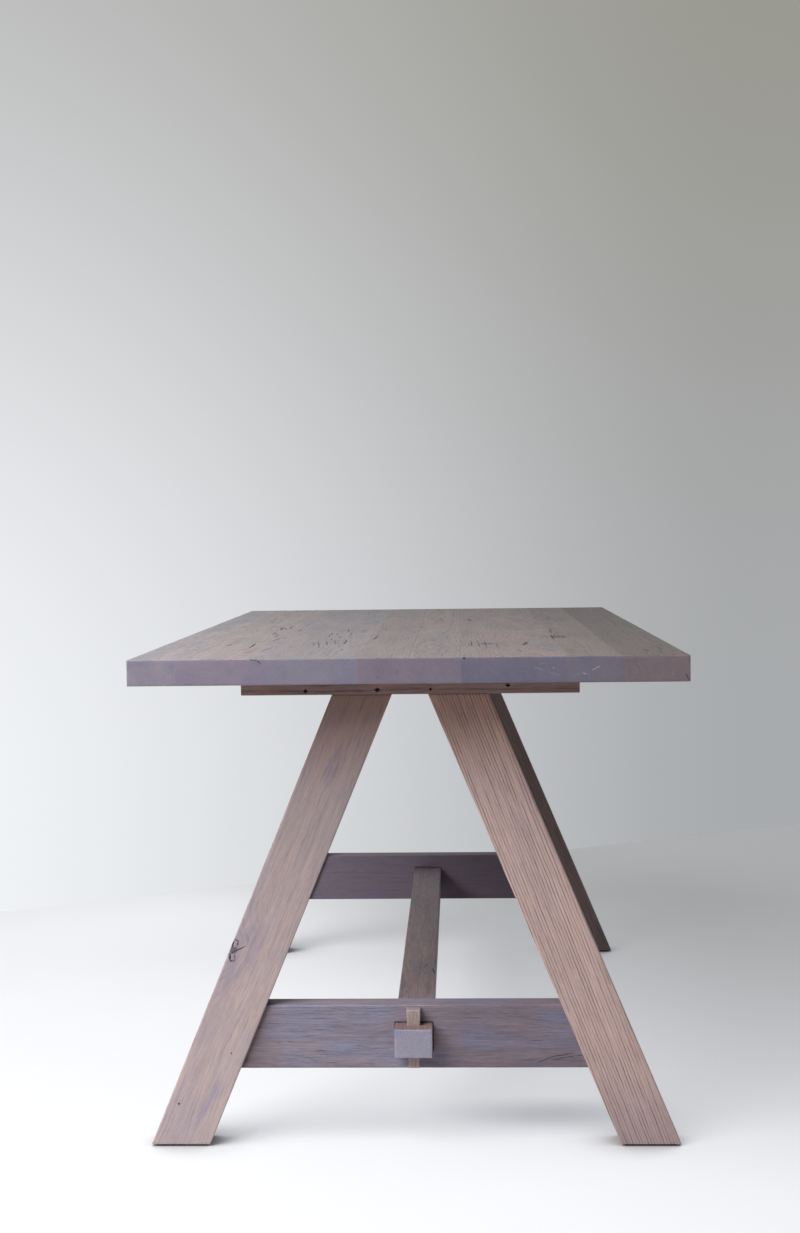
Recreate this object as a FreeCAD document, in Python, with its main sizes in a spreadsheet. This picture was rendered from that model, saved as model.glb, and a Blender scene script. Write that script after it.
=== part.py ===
import FreeCAD, Part
import math
import os
import Sketcher

# A trestle table in solid oak that knocks down: a top of edge-glued boards, bolted to two A-shaped
# trestles, which one long beam joins. The beam passes through both cross rails and is locked outside
# each of them by a tusk key.
#
# Frame: origin on the floor at the middle of the table, X across it, Y along it, Z up. "Near" is the
# -Y end and "far" is the +Y end. Lengths are in millimetres.

# Driving dimensions: alias, value, what it is.
SIZES = [
    ("top_height", 762, "floor to the upper face of the top"),
    ("top_length", 1524, "length of the boards"),
    ("top_thickness", 38, "thickness of the boards"),
    ("top_edge_round", 1, "round on the outer edges of the top"),
    ("board_1_width", 71, "boards of the top, from -X to +X"),
    ("board_2_width", 131, ""),
    ("board_3_width", 133, ""),
    ("board_4_width", 75, ""),
    ("board_5_width", 75, ""),
    ("board_6_width", 152, ""),
    ("board_7_width", 79, ""),
    ("board_8_width", 97, ""),
    ("tenon_count", 6, "loose tenons in each joint of the top"),
    ("tenon_end_inset", 112, "end of the top to the middle of the first loose tenon"),
    ("tenon_length", 50, "loose tenon, across the joint"),
    ("tenon_width", 24, "loose tenon, along the joint"),
    ("tenon_thickness", 10, "loose tenon, up and down"),
    ("tenon_side_gap", 0.1, "glue gap round a loose tenon"),
    ("tenon_end_gap", 0.8, "glue gap past each end of a loose tenon"),
    ("end_overhang", 128, "end of the top to the outer face of the trestle"),
    ("stick_edge_round", 1.5, "round on the edges of the trestles and the beam"),
    ("batten_length", 514, "batten, across the table"),
    ("batten_thickness", 27, "batten, up and down"),
    ("nail_hole_diameter", 4.3, "old nail holes in the near batten"),
    ("nail_hole_depth", 14, ""),
    ("nail_hole_1_along", 98.5, "from the -X end of the batten"),
    ("nail_hole_1_up", 6, "from the underside of the batten"),
    ("nail_hole_2_along", 207.7, ""),
    ("nail_hole_2_up", 7.3, ""),
    ("nail_hole_3_along", 288.5, ""),
    ("nail_hole_3_up", 7.5, ""),
    ("nail_hole_4_along", 405.6, ""),
    ("nail_hole_4_up", 12.5, ""),
    ("leg_depth", 51, "legs and battens, along the table"),
    ("leg_width", 84, "legs, square to their length"),
    ("leg_splay", 22.57, "legs from upright, in degrees"),
    ("leg_gap", 55, "between the two legs' inner edges at their tops"),
    ("pad_thickness", 3, "foot pads"),
    ("pad_inset", 5, "edge of a foot to the edge of its pad"),
    ("pad_corner_radius", 6, "upright corners of a foot pad"),
    ("rail_underside", 120.5, "floor to the underside of the cross rails"),
    ("rail_height", 98, "cross rails, up and down"),
    ("rail_thickness", 38, "cross rails, along the table"),
    ("rail_tenon_length", 36, "tenons of the rails, from the leg's edge"),
    ("rail_tenon_thickness", 13, ""),
    ("rail_tenon_shoulder", 15, "shoulder above and below a rail's tenon"),
    ("mortise_side_gap", 0.15, "gap beside, above and below a rail's tenon"),
    ("mortise_end_gap", 1.5, "gap past the end of a rail's tenon"),
    ("beam_underside", 146.5, "floor to the underside of the beam"),
    ("beam_height", 44.5, "beam, up and down"),
    ("beam_width", 58, "beam, across the table"),
    ("beam_standout", 37, "beam past the outer face of a rail"),
    ("beam_side_gap", 0.6, "gap each side of the beam in a rail"),
    ("beam_top_gap", 1.2, "gap above the beam in a rail"),
    ("key_underside", 124, "floor to the lower end of the keys"),
    ("key_height", 91, "keys, up and down"),
    ("key_top_width", 21.2, "keys across the table, at their top"),
    ("key_bottom_width", 16, "keys across the table, at their bottom"),
    ("key_top_depth", 18, "keys along the table, at their top"),
    ("key_bottom_depth", 12, "keys along the table, at their bottom"),
    ("key_edge_round", 0.8, "round on the edges of the keys"),
    ("key_gap", 0.2, "gap between a key and what it stands in or bears on"),
    ("key_draw", 3, "mortise of a key, in from the outer face of the rail"),
    ("screw_diameter", 5, "screws from the battens into the legs"),
    ("screw_length", 80, "screws, under the head"),
    ("screw_head_diameter", 12, ""),
    ("screw_head_height", 3, ""),
    ("screw_point", 2, "bevel at a screw's point"),
    ("screw_recess", 0.5, "head below the upper face of the batten"),
    ("screw_inset", 40, "inner edge of a leg's top to its first screw"),
    ("screw_spacing", 26, "between the two screws of a leg"),
    ("screw_gap", 0.1, "gap round a screw and past its point"),
    ("bolt_inset", 67, "end of a batten to the middle of its bolt"),
    ("bolt_diameter", 8, "bolts that hold the top"),
    ("bolt_length", 30, "bolts, under the head"),
    ("bolt_head_diameter", 14, ""),
    ("bolt_head_height", 5, ""),
    ("bolt_socket_width", 5, "hexagon socket, across its flats"),
    ("bolt_socket_depth", 3, ""),
    ("bolt_head_round", 2, "round on a bolt's head"),
    ("bolt_recess", 8.5, "underside of a batten to the seat of its washers"),
    ("bolt_slot_travel", 8, "how far a bolt can move across the table in its slot"),
    ("bolt_slot_gap", 0.5, "gap each side of a bolt in its slot, and of a washer in its recess"),
    ("washer_diameter", 24, ""),
    ("washer_thickness", 2, ""),
    ("washer_gap", 0.3, "gap round a bolt in its washer"),
    ("insert_diameter", 12, "threaded inserts in the top"),
    ("insert_length", 12, ""),
    ("insert_gap", 0.1, "gap round an insert, and between its bore and the bolt"),
    ("insert_end_gap", 1.5, "depth of an insert's hole past the insert"),
]
BOARD_COUNT = 8
NAIL_HOLE_COUNT = 4
PARALLEL_TOLERANCE = 1e-4
SAME_PLACE = 0.05
ALONG_X = FreeCAD.Vector(1, 0, 0)
ALONG_Y = FreeCAD.Vector(0, 1, 0)
ALONG_Z = FreeCAD.Vector(0, 0, 1)

doc = FreeCAD.newDocument("trestle_table")
sheet = doc.addObject("Spreadsheet::Sheet", "Sizes")
for row, (alias, value, note) in enumerate(SIZES, start=1):
    sheet.set(f"A{row}", alias.replace("_", " "))
    sheet.set(f"B{row}", str(value))
    sheet.setAlias(f"B{row}", alias)
    sheet.set(f"C{row}", note)
doc.recompute()

SUB_PARTS = []

# Places that more than one piece shares, as expressions.
TOP_UNDERSIDE = "(Sizes.top_height - Sizes.top_thickness)"
LEG_TOP = f"({TOP_UNDERSIDE} - Sizes.batten_thickness)"
TRESTLE_FACE = "(Sizes.top_length / 2 - Sizes.end_overhang)"
TRESTLE_MIDDLE = f"({TRESTLE_FACE} - Sizes.leg_depth / 2)"
RAIL_FACE = f"({TRESTLE_MIDDLE} + Sizes.rail_thickness / 2)"
BEAM_END = f"({RAIL_FACE} + Sizes.beam_standout)"
BEAM_TOP = "(Sizes.beam_underside + Sizes.beam_height)"
BOLT_X = "(Sizes.batten_length / 2 - Sizes.bolt_inset)"
BOLT_PLACES = [(f"-{BOLT_X}", "0"), (BOLT_X, "0")]
TOP_WIDTH = "(" + " + ".join(f"Sizes.board_{i}_width" for i in range(1, BOARD_COUNT + 1)) + ")"


def joint_x(board):
    """Where the joint after a board lies across the table, and for board 0 the top's -X edge."""
    widths = "".join(f" + Sizes.board_{i}_width" for i in range(1, board + 1))
    return f"(-{TOP_WIDTH} / 2{widths})"


def leg_inner_x(height):
    """Distance from the table's middle to the inner edge of a leg, at a height."""
    return f"(Sizes.leg_gap / 2 + ({LEG_TOP} - {height}) * tan(Sizes.leg_splay))"


def leg_outer_x(height):
    """Distance from the table's middle to the outer edge of a leg, at a height."""
    return f"({leg_inner_x(height)} + Sizes.leg_width / cos(Sizes.leg_splay))"


def number(expression):
    """The present value of an expression."""
    return float(sheet.evalExpression(expression.replace("Sizes.", "")))


def origin_part(body, role):
    """One of a body's own origin planes or axes."""
    return next(item for item in body.Origin.OriginFeatures if item.Role == role)


def sub_part(label, x="0", y="0", z="0", turned=False):
    """A new body, placed in the table and turned half round the upright where asked."""
    body = doc.addObject("PartDesign::Body", label)
    body.Label = label
    if turned:
        body.Placement.Rotation = FreeCAD.Rotation(ALONG_Z, 180)
    for axis, expression in zip("xyz", (x, y, z)):
        body.setExpression(f"Placement.Base.{axis}", expression)
    SUB_PARTS.append(body)
    return body


def new_sketch(body, name, plane, height=None):
    """A sketch on one of the body's own origin planes, or at a height above it."""
    sketch = body.newObject("Sketcher::SketchObject", f"{body.Name}_{name}")
    sketch.AttachmentSupport = (origin_part(body, plane), [""])
    sketch.MapMode = "FlatFace"
    if height:
        sketch.setExpression("AttachmentOffset.Base.z", height)
    return sketch


def bind(sketch, kind, name, geometry, point, expression):
    """One dimension of a sketch, bound to its expression."""
    if kind == "Radius":
        constraint = Sketcher.Constraint(kind, geometry, number(expression))
    else:
        constraint = Sketcher.Constraint(kind, -1, 1, geometry, point, number(expression))
    sketch.renameConstraint(sketch.addConstraint(constraint), name)
    sketch.setExpression(f"Constraints.{name}", expression)


def outline(body, name, plane, corners, height=None):
    """A closed outline of straight sides through corners, each a pair of expressions."""
    sketch = new_sketch(body, name, plane, height)
    points = [FreeCAD.Vector(number(across), number(up), 0) for across, up in corners]
    for start, end in zip(points, points[1:] + points[:1]):
        sketch.addGeometry(Part.LineSegment(start, end))
    for side in range(len(corners)):
        following = (side + 1) % len(corners)
        sketch.addConstraint(Sketcher.Constraint("Coincident", side, 2, following, 1))
    for side, (across, up) in enumerate(corners):
        bind(sketch, "DistanceX", f"across_{side}", side, 1, across)
        bind(sketch, "DistanceY", f"up_{side}", side, 1, up)
    return sketch


def rectangle(body, name, plane, low, high, height=None):
    """A rectangle between two opposite corners, each a pair of expressions."""
    corners = [low, (high[0], low[1]), high, (low[0], high[1])]
    return outline(body, name, plane, corners, height)


def circles(body, name, plane, centres, diameter, height=None):
    """Circles of one diameter about centres, each a pair of expressions."""
    sketch = new_sketch(body, name, plane, height)
    radius = f"({diameter}) / 2"
    for index, (x, y) in enumerate(centres):
        centre = FreeCAD.Vector(number(x), number(y), 0)
        sketch.addGeometry(Part.Circle(centre, ALONG_Z, number(radius)))
        bind(sketch, "Radius", f"radius_{index}", index, None, radius)
        bind(sketch, "DistanceX", f"x_{index}", index, 3, x)
        bind(sketch, "DistanceY", f"y_{index}", index, 3, y)
    return sketch


def slot(body, name, x, width, height):
    """A level slot, round-ended and as long as a bolt's travel, about a place on the middle line."""
    sketch = new_sketch(body, name, "XY_Plane", height)
    travel = "Sizes.bolt_slot_travel"
    radius = number(f"{width} / 2")
    ends = [number(f"{x} {sign} {travel} / 2") for sign in "-+"]
    left, right = (FreeCAD.Vector(end, 0, 0) for end in ends)
    side = FreeCAD.Vector(0, radius, 0)
    sketch.addGeometry(Part.LineSegment(left - side, right - side))
    sketch.addGeometry(Part.ArcOfCircle(Part.Circle(right, ALONG_Z, radius), -math.pi / 2, math.pi / 2))
    sketch.addGeometry(Part.LineSegment(right + side, left + side))
    sketch.addGeometry(Part.ArcOfCircle(Part.Circle(left, ALONG_Z, radius), math.pi / 2, 3 * math.pi / 2))
    for piece in range(4):
        sketch.addConstraint(Sketcher.Constraint("Tangent", piece, 2, (piece + 1) % 4, 1))
    bind(sketch, "Radius", "radius", 1, None, f"{width} / 2")
    bind(sketch, "DistanceX", "right_end", 1, 3, f"{x} + {travel} / 2")
    bind(sketch, "DistanceX", "left_end", 3, 3, f"{x} - {travel} / 2")
    for arc in (1, 3):
        sketch.addConstraint(Sketcher.Constraint("PointOnObject", arc, 3, -1))
    return sketch


def hexagon(body, name, x, across_flats, height):
    """A level hexagon about a place on the middle line, its corners fore and aft."""
    half = f"({across_flats} / 2)"
    corner = f"({across_flats} / sqrt(3))"
    corners = [
        (x, f"-{corner}"), (f"{x} + {half}", f"-{corner} / 2"), (f"{x} + {half}", f"{corner} / 2"),
        (x, corner), (f"{x} - {half}", f"{corner} / 2"), (f"{x} - {half}", f"-{corner} / 2"),
    ]
    return outline(body, name, "XY_Plane", corners, height)


def pad(body, name, sketch, length, symmetric=False):
    """Solid stock along a sketch's normal, or to both sides of it."""
    feature = body.newObject("PartDesign::Pad", f"{body.Name}_{name}")
    feature.Profile = sketch
    feature.setExpression("Length", length)
    feature.SideType = "Symmetric" if symmetric else "One side"
    return feature


def pocket(body, name, sketch, length, symmetric=False, reverse=False, may_miss=False):
    """A cut against a sketch's normal, along it, or to both sides of it."""
    doc.recompute()
    before = body.Tip.Shape.Volume
    feature = body.newObject("PartDesign::Pocket", f"{body.Name}_{name}")
    feature.Profile = sketch
    feature.setExpression("Length", length)
    feature.SideType = "Symmetric" if symmetric else "One side"
    feature.Reversed = reverse
    doc.recompute()
    if feature.Shape.Volume >= before and not may_miss:
        raise RuntimeError(f"{feature.Name} cuts nothing")
    return feature


def treat_edges(body, kind, name, property_name, size, chosen):
    """A feature on the edges of a body's last shape that the function chosen picks."""
    doc.recompute()
    base = body.Tip
    names = [f"Edge{index}" for index, edge in enumerate(base.Shape.Edges, start=1) if chosen(edge)]
    feature = body.newObject(kind, f"{body.Name}_{name}")
    feature.Base = (base, names)
    feature.setExpression(property_name, size)


def round_edges(body, name, radius, chosen):
    """A round on the chosen edges."""
    treat_edges(body, "PartDesign::Fillet", name, "Radius", radius, chosen)


def bevel_edges(body, name, size, chosen):
    """A bevel on the chosen edges."""
    treat_edges(body, "PartDesign::Chamfer", name, "Size", size, chosen)


def runs_along(edge, direction):
    """Whether an edge is straight and runs along a direction."""
    if not isinstance(edge.Curve, Part.Line):
        return False
    return edge.Curve.Direction.cross(direction).Length < PARALLEL_TOLERANCE


def repeat(body, name, features, axis, span, count):
    """The same features again along an axis, the last one a span from the first."""
    pattern = body.newObject("PartDesign::LinearPattern", f"{body.Name}_{name}")
    pattern.Originals = features
    pattern.Direction = (origin_part(body, axis), [""])
    pattern.setExpression("Length", span)
    pattern.setExpression("Occurrences", count)
    body.Tip = pattern
    return pattern


# The top: boards glued edge to edge, with loose tenons in each joint.
TENON_LEVEL = f"({TOP_UNDERSIDE} + Sizes.top_thickness / 2)"
TENON_SPAN = "(Sizes.top_length - 2 * Sizes.tenon_end_inset)"


def tenon_outline(body, name, gap):
    """One loose tenon seen along the joint's X, grown by a gap: the first of its row."""
    middle = f"(-{TENON_SPAN} / 2)"
    half_width = f"(Sizes.tenon_width / 2 + {gap})"
    half_thickness = f"(Sizes.tenon_thickness / 2 + {gap})"
    low = (f"{middle} - {half_width}", f"{TENON_LEVEL} - {half_thickness}")
    high = (f"{middle} + {half_width}", f"{TENON_LEVEL} + {half_thickness}")
    return rectangle(body, name, "YZ_Plane", low, high)


def cut_tenon_mortises(body, side, face_x):
    """The row of mortises for loose tenons in one glued face of a board."""
    sketch = tenon_outline(body, f"{side}_mortise", "Sizes.tenon_side_gap")
    sketch.setExpression("AttachmentOffset.Base.z", face_x)
    depth = "Sizes.tenon_length / 2 + Sizes.tenon_end_gap"
    cut = pocket(body, f"{side}_mortise_cut", sketch, depth, reverse=side == "left")
    repeat(body, f"{side}_mortises", [cut], "Y_Axis", TENON_SPAN, "Sizes.tenon_count")


def make_board(board):
    """A board of the top, with its outer edges eased."""
    left = joint_x(board - 1)
    body = sub_part(f"top_board_{board}", x=left)
    width = f"Sizes.board_{board}_width"
    section = rectangle(body, "section", "XZ_Plane", ("0", TOP_UNDERSIDE), (width, "Sizes.top_height"))
    pad(body, "stock", section, "Sizes.top_length", symmetric=True)
    end_y = number("Sizes.top_length / 2")
    outer_x = {1: 0, BOARD_COUNT: number(width)}.get(board)

    def is_outer(edge):
        middle = edge.CenterOfMass
        at_end = runs_along(edge, ALONG_X) and abs(abs(middle.y) - end_y) < SAME_PLACE
        at_side = outer_x is not None and abs(middle.x - outer_x) < SAME_PLACE
        return at_end or at_side

    round_edges(body, "eased", "Sizes.top_edge_round", is_outer)
    if board > 1:
        cut_tenon_mortises(body, "left", "0")
    if board < BOARD_COUNT:
        cut_tenon_mortises(body, "right", width)
    # A bolt's insert may fall in any board, so each board is bored at all four places.
    rows = (f"-{TRESTLE_MIDDLE}", TRESTLE_MIDDLE)
    places = [(f"{x} - {left}", y) for x, _ in BOLT_PLACES for y in rows]
    bore = "Sizes.insert_diameter + 2 * Sizes.insert_gap"
    holes = circles(body, "insert_holes", "XY_Plane", places, bore, TOP_UNDERSIDE)
    depth = "Sizes.insert_length + Sizes.insert_end_gap"
    pocket(body, "insert_holes_cut", holes, depth, reverse=True, may_miss=True)


def make_joint_tenons(joint):
    """The loose tenons of the joint between a board and the next."""
    body = sub_part(f"top_joint_{joint}_tenons", x=joint_x(joint))
    sketch = tenon_outline(body, "section", "0")
    stock = pad(body, "stock", sketch, "Sizes.tenon_length", symmetric=True)
    repeat(body, "row", [stock], "Y_Axis", TENON_SPAN, "Sizes.tenon_count")


# The trestles. A piece of a trestle is drawn with the trestle's own middle at y = 0.
SCREW_X = "(Sizes.leg_gap / 2 + Sizes.screw_inset)"
SCREW_PLACES = [
    (f"{side} * ({SCREW_X} + {step} * Sizes.screw_spacing)", "0") for side in (-1, 1) for step in (0, 1)
]
SCREW_HEAD_UNDERSIDE = f"({TOP_UNDERSIDE} - Sizes.screw_recess - Sizes.screw_head_height)"
SCREW_END = f"({SCREW_HEAD_UNDERSIDE} - Sizes.screw_length)"
BOLT_SLOT_WIDTH = "(Sizes.bolt_diameter + 2 * Sizes.bolt_slot_gap)"
WASHER_SLOT_WIDTH = "(Sizes.washer_diameter + 2 * Sizes.bolt_slot_gap)"
WASHER_SEAT = f"({LEG_TOP} + Sizes.bolt_recess)"
BOLT_HEAD_TOP = f"({WASHER_SEAT} - Sizes.washer_thickness)"


def cut_nail_holes(body):
    """Old nail holes in a batten's outer face, left from the timber's first use."""
    for hole in range(1, NAIL_HOLE_COUNT + 1):
        along = f"Sizes.nail_hole_{hole}_along - Sizes.batten_length / 2"
        up = f"{LEG_TOP} + Sizes.nail_hole_{hole}_up"
        name = f"nail_hole_{hole}"
        face = "Sizes.leg_depth / 2"
        sketch = circles(body, name, "XZ_Plane", [(along, up)], "Sizes.nail_hole_diameter", face)
        pocket(body, f"{name}_cut", sketch, "Sizes.nail_hole_depth")


def make_batten(label, y, has_nail_holes):
    """The cross piece that carries the top, with recessed slots for bolts and holes for screws."""
    body = sub_part(label, y=y)
    low = ("-Sizes.batten_length / 2", LEG_TOP)
    high = ("Sizes.batten_length / 2", TOP_UNDERSIDE)
    section = rectangle(body, "face", "XZ_Plane", low, high)
    pad(body, "stock", section, "Sizes.leg_depth", symmetric=True)
    round_edges(body, "eased", "Sizes.stick_edge_round", lambda edge: True)
    heads = circles(
        body, "screw_heads", "XY_Plane", SCREW_PLACES,
        "Sizes.screw_head_diameter + 2 * Sizes.screw_gap", TOP_UNDERSIDE,
    )
    pocket(body, "screw_heads_cut", heads, "Sizes.screw_head_height + Sizes.screw_recess")
    shanks = circles(
        body, "screw_shanks", "XY_Plane", SCREW_PLACES,
        "Sizes.screw_diameter + 2 * Sizes.screw_gap", TOP_UNDERSIDE,
    )
    pocket(body, "screw_shanks_cut", shanks, "Sizes.batten_thickness")
    for side, (x, _) in zip(("left", "right"), BOLT_PLACES):
        sketch = slot(body, f"{side}_slot", x, BOLT_SLOT_WIDTH, TOP_UNDERSIDE)
        pocket(body, f"{side}_slot_cut", sketch, "Sizes.batten_thickness")
        sketch = slot(body, f"{side}_recess", x, WASHER_SLOT_WIDTH, LEG_TOP)
        pocket(body, f"{side}_recess_cut", sketch, "Sizes.bolt_recess", reverse=True)
    if has_nail_holes:
        cut_nail_holes(body)


def tenon_profile(body, name, side_gap, end_gap, both_ends=False):
    """The rail's tenon seen from the end of the table, grown by gaps: it ends level with the leg's slope."""
    low = f"(Sizes.rail_underside + Sizes.rail_tenon_shoulder - {side_gap})"
    high = f"(Sizes.rail_underside + Sizes.rail_height - Sizes.rail_tenon_shoulder + {side_gap})"
    reach = f"(Sizes.rail_tenon_length + {end_gap})"
    right_low = f"({leg_inner_x(low)} + {reach})"
    right_high = f"({leg_inner_x(high)} + {reach})"
    left_low = f"-{right_low}" if both_ends else leg_inner_x(low)
    left_high = f"-{right_high}" if both_ends else leg_inner_x(high)
    corners = [(left_low, low), (right_low, low), (right_high, high), (left_high, high)]
    return outline(body, name, "XZ_Plane", corners)


def make_leg(label, y, left):
    """A splayed leg, cut level at both ends, with a mortise for the rail in its inner edge."""
    body = sub_part(label, y=y, turned=left)
    foot = "Sizes.pad_thickness"
    corners = [
        (leg_inner_x(LEG_TOP), LEG_TOP),
        (leg_inner_x(foot), foot),
        (leg_outer_x(foot), foot),
        (leg_outer_x(LEG_TOP), LEG_TOP),
    ]
    pad(body, "stock", outline(body, "face", "XZ_Plane", corners), "Sizes.leg_depth", symmetric=True)
    foot_now = number(foot)
    splay = FreeCAD.Vector(number("tan(Sizes.leg_splay)"), 0, -1).normalize()

    def is_eased(edge):
        return runs_along(edge, splay) or abs(edge.CenterOfMass.z - foot_now) < SAME_PLACE

    round_edges(body, "eased", "Sizes.stick_edge_round", is_eased)
    mortise = tenon_profile(body, "mortise", "Sizes.mortise_side_gap", "Sizes.mortise_end_gap")
    pocket(
        body, "mortise_cut", mortise,
        "Sizes.rail_tenon_thickness + 2 * Sizes.mortise_side_gap", symmetric=True,
    )
    places = SCREW_PLACES[2:]
    holes = circles(
        body, "screw_holes", "XY_Plane", places, "Sizes.screw_diameter + 2 * Sizes.screw_gap", LEG_TOP
    )
    pocket(body, "screw_holes_cut", holes, f"{LEG_TOP} - {SCREW_END} + Sizes.screw_gap")


def make_rail(label, y):
    """The cross rail between two legs, with a tenon at each end and a mortise for the beam."""
    body = sub_part(label, y=y)
    low = "Sizes.rail_underside"
    high = "(Sizes.rail_underside + Sizes.rail_height)"
    corners = [
        (f"-{leg_inner_x(low)}", low),
        (leg_inner_x(low), low),
        (leg_inner_x(high), high),
        (f"-{leg_inner_x(high)}", high),
    ]
    pad(body, "stock", outline(body, "face", "XZ_Plane", corners), "Sizes.rail_thickness", symmetric=True)
    round_edges(body, "eased", "Sizes.stick_edge_round", lambda edge: runs_along(edge, ALONG_X))
    tenons = tenon_profile(body, "tenons", "0", "0", both_ends=True)
    pad(body, "tenons_stock", tenons, "Sizes.rail_tenon_thickness", symmetric=True)
    half_width = "(Sizes.beam_width / 2 + Sizes.beam_side_gap)"
    opening = rectangle(
        body, "mortise", "XZ_Plane",
        (f"-{half_width}", "Sizes.beam_underside"), (half_width, f"{BEAM_TOP} + Sizes.beam_top_gap"),
    )
    pocket(body, "mortise_cut", opening, "Sizes.rail_thickness", symmetric=True)
    reach = number(half_width) + SAME_PLACE
    # Corners of this radius leave room for the beam's rounded edges where it lies on the mortise's floor.
    round_edges(
        body, "mortise_corners", "Sizes.stick_edge_round + Sizes.beam_side_gap",
        lambda edge: runs_along(edge, ALONG_Y) and abs(edge.CenterOfMass.x) < reach,
    )


def make_leg_screws(label, y):
    """The four screws that hold a batten on its legs."""
    body = sub_part(label, y=y)
    shanks = circles(body, "shanks", "XY_Plane", SCREW_PLACES, "Sizes.screw_diameter", SCREW_END)
    pad(body, "shanks_stock", shanks, "Sizes.screw_length")
    end_now = number(SCREW_END)
    bevel_edges(
        body, "points", "Sizes.screw_point", lambda edge: abs(edge.CenterOfMass.z - end_now) < SAME_PLACE
    )
    heads = circles(
        body, "heads", "XY_Plane", SCREW_PLACES, "Sizes.screw_head_diameter", SCREW_HEAD_UNDERSIDE
    )
    pad(body, "heads_stock", heads, "Sizes.screw_head_height")


def make_top_bolts(label, y):
    """The two bolts that hold the top on a batten, heads down, each with a hexagon socket."""
    body = sub_part(label, y=y)
    lowest = f"({BOLT_HEAD_TOP} - Sizes.bolt_head_height)"
    heads = circles(body, "heads", "XY_Plane", BOLT_PLACES, "Sizes.bolt_head_diameter", lowest)
    pad(body, "heads_stock", heads, "Sizes.bolt_head_height")
    lowest_now = number(lowest)
    round_edges(
        body, "heads_rounded", "Sizes.bolt_head_round",
        lambda edge: abs(edge.CenterOfMass.z - lowest_now) < SAME_PLACE,
    )
    shanks = circles(body, "shanks", "XY_Plane", BOLT_PLACES, "Sizes.bolt_diameter", BOLT_HEAD_TOP)
    pad(body, "shanks_stock", shanks, "Sizes.bolt_length")
    for side, (x, _) in zip(("left", "right"), BOLT_PLACES):
        sketch = hexagon(body, f"{side}_socket", x, "Sizes.bolt_socket_width", lowest)
        pocket(body, f"{side}_socket_cut", sketch, "Sizes.bolt_socket_depth", reverse=True)


def make_rings(label, y, low, height, outside, inside):
    """Two plain rings, one round each bolt of a trestle: its washers or its inserts."""
    body = sub_part(label, y=y)
    pad(body, "stock", circles(body, "outside", "XY_Plane", BOLT_PLACES, outside, low), height)
    bores = circles(body, "inside", "XY_Plane", BOLT_PLACES, inside, low)
    pocket(body, "bores", bores, height, reverse=True)


def make_foot_pad(label, y, left):
    """The thin pad under a foot, set in from the foot's edges."""
    body = sub_part(label, y=y, turned=left)
    foot = "Sizes.pad_thickness"
    half_depth = "(Sizes.leg_depth / 2 - Sizes.pad_inset)"
    low = (f"{leg_inner_x(foot)} + Sizes.pad_inset", f"-{half_depth}")
    high = (f"{leg_outer_x(foot)} - Sizes.pad_inset", half_depth)
    pad(body, "stock", rectangle(body, "plan", "XY_Plane", low, high), foot)
    round_edges(body, "corners", "Sizes.pad_corner_radius", lambda edge: runs_along(edge, ALONG_Z))


# The beam and its keys.
KEY_TOP = "(Sizes.key_underside + Sizes.key_height)"


def key_share(height):
    """How far up a key a height lies, from 0 at its lower end to 1 at its top."""
    return f"(({height} - Sizes.key_underside) / Sizes.key_height)"


def key_depth(height):
    """A key's size along the table at a height."""
    taper = "(Sizes.key_top_depth - Sizes.key_bottom_depth)"
    return f"(Sizes.key_bottom_depth + {key_share(height)} * {taper})"


def key_width(height):
    """A key's size across the table at a height."""
    taper = "(Sizes.key_top_width - Sizes.key_bottom_width)"
    return f"(Sizes.key_bottom_width + {key_share(height)} * {taper})"


def make_beam():
    """The long beam, with a mortise for a key through each end, its outer wall sloped like the key."""
    body = sub_part("beam")
    low = ("-Sizes.beam_width / 2", "Sizes.beam_underside")
    high = ("Sizes.beam_width / 2", BEAM_TOP)
    pad(body, "stock", rectangle(body, "section", "XZ_Plane", low, high), f"2 * {BEAM_END}", symmetric=True)
    round_edges(body, "eased", "Sizes.stick_edge_round", lambda edge: True)
    inner = f"({RAIL_FACE} - Sizes.key_draw)"
    outer_low = f"({RAIL_FACE} + 2 * Sizes.key_gap + {key_depth('Sizes.beam_underside')})"
    outer_high = f"({RAIL_FACE} + 2 * Sizes.key_gap + {key_depth(BEAM_TOP)})"
    width = f"{key_width(BEAM_TOP)} + 2 * Sizes.key_gap"
    for end, sign in (("near", "-"), ("far", "")):
        corners = [
            (f"{sign}{inner}", "Sizes.beam_underside"),
            (f"{sign}{outer_low}", "Sizes.beam_underside"),
            (f"{sign}{outer_high}", BEAM_TOP),
            (f"{sign}{inner}", BEAM_TOP),
        ]
        sketch = outline(body, f"{end}_mortise", "YZ_Plane", corners)
        pocket(body, f"{end}_mortise_cut", sketch, width, symmetric=True)


def make_key(label, y, far):
    """A tusk key, drawn with the face that bears on the rail at y = 0: it tapers two ways."""
    body = sub_part(label, y=y, turned=far)
    half_top = "Sizes.key_top_width / 2"
    half_bottom = "Sizes.key_bottom_width / 2"
    face = [
        (f"-{half_bottom}", "Sizes.key_underside"),
        (half_bottom, "Sizes.key_underside"),
        (half_top, KEY_TOP),
        (f"-{half_top}", KEY_TOP),
    ]
    pad(body, "stock", outline(body, "face", "XZ_Plane", face), "Sizes.key_top_depth")
    waste = [
        ("-Sizes.key_top_depth", "Sizes.key_underside"),
        ("-Sizes.key_bottom_depth", "Sizes.key_underside"),
        ("-Sizes.key_top_depth", KEY_TOP),
    ]
    taper = outline(body, "taper", "YZ_Plane", waste)
    pocket(body, "taper_cut", taper, "Sizes.key_top_width", symmetric=True)
    round_edges(body, "eased", "Sizes.key_edge_round", lambda edge: True)


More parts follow.
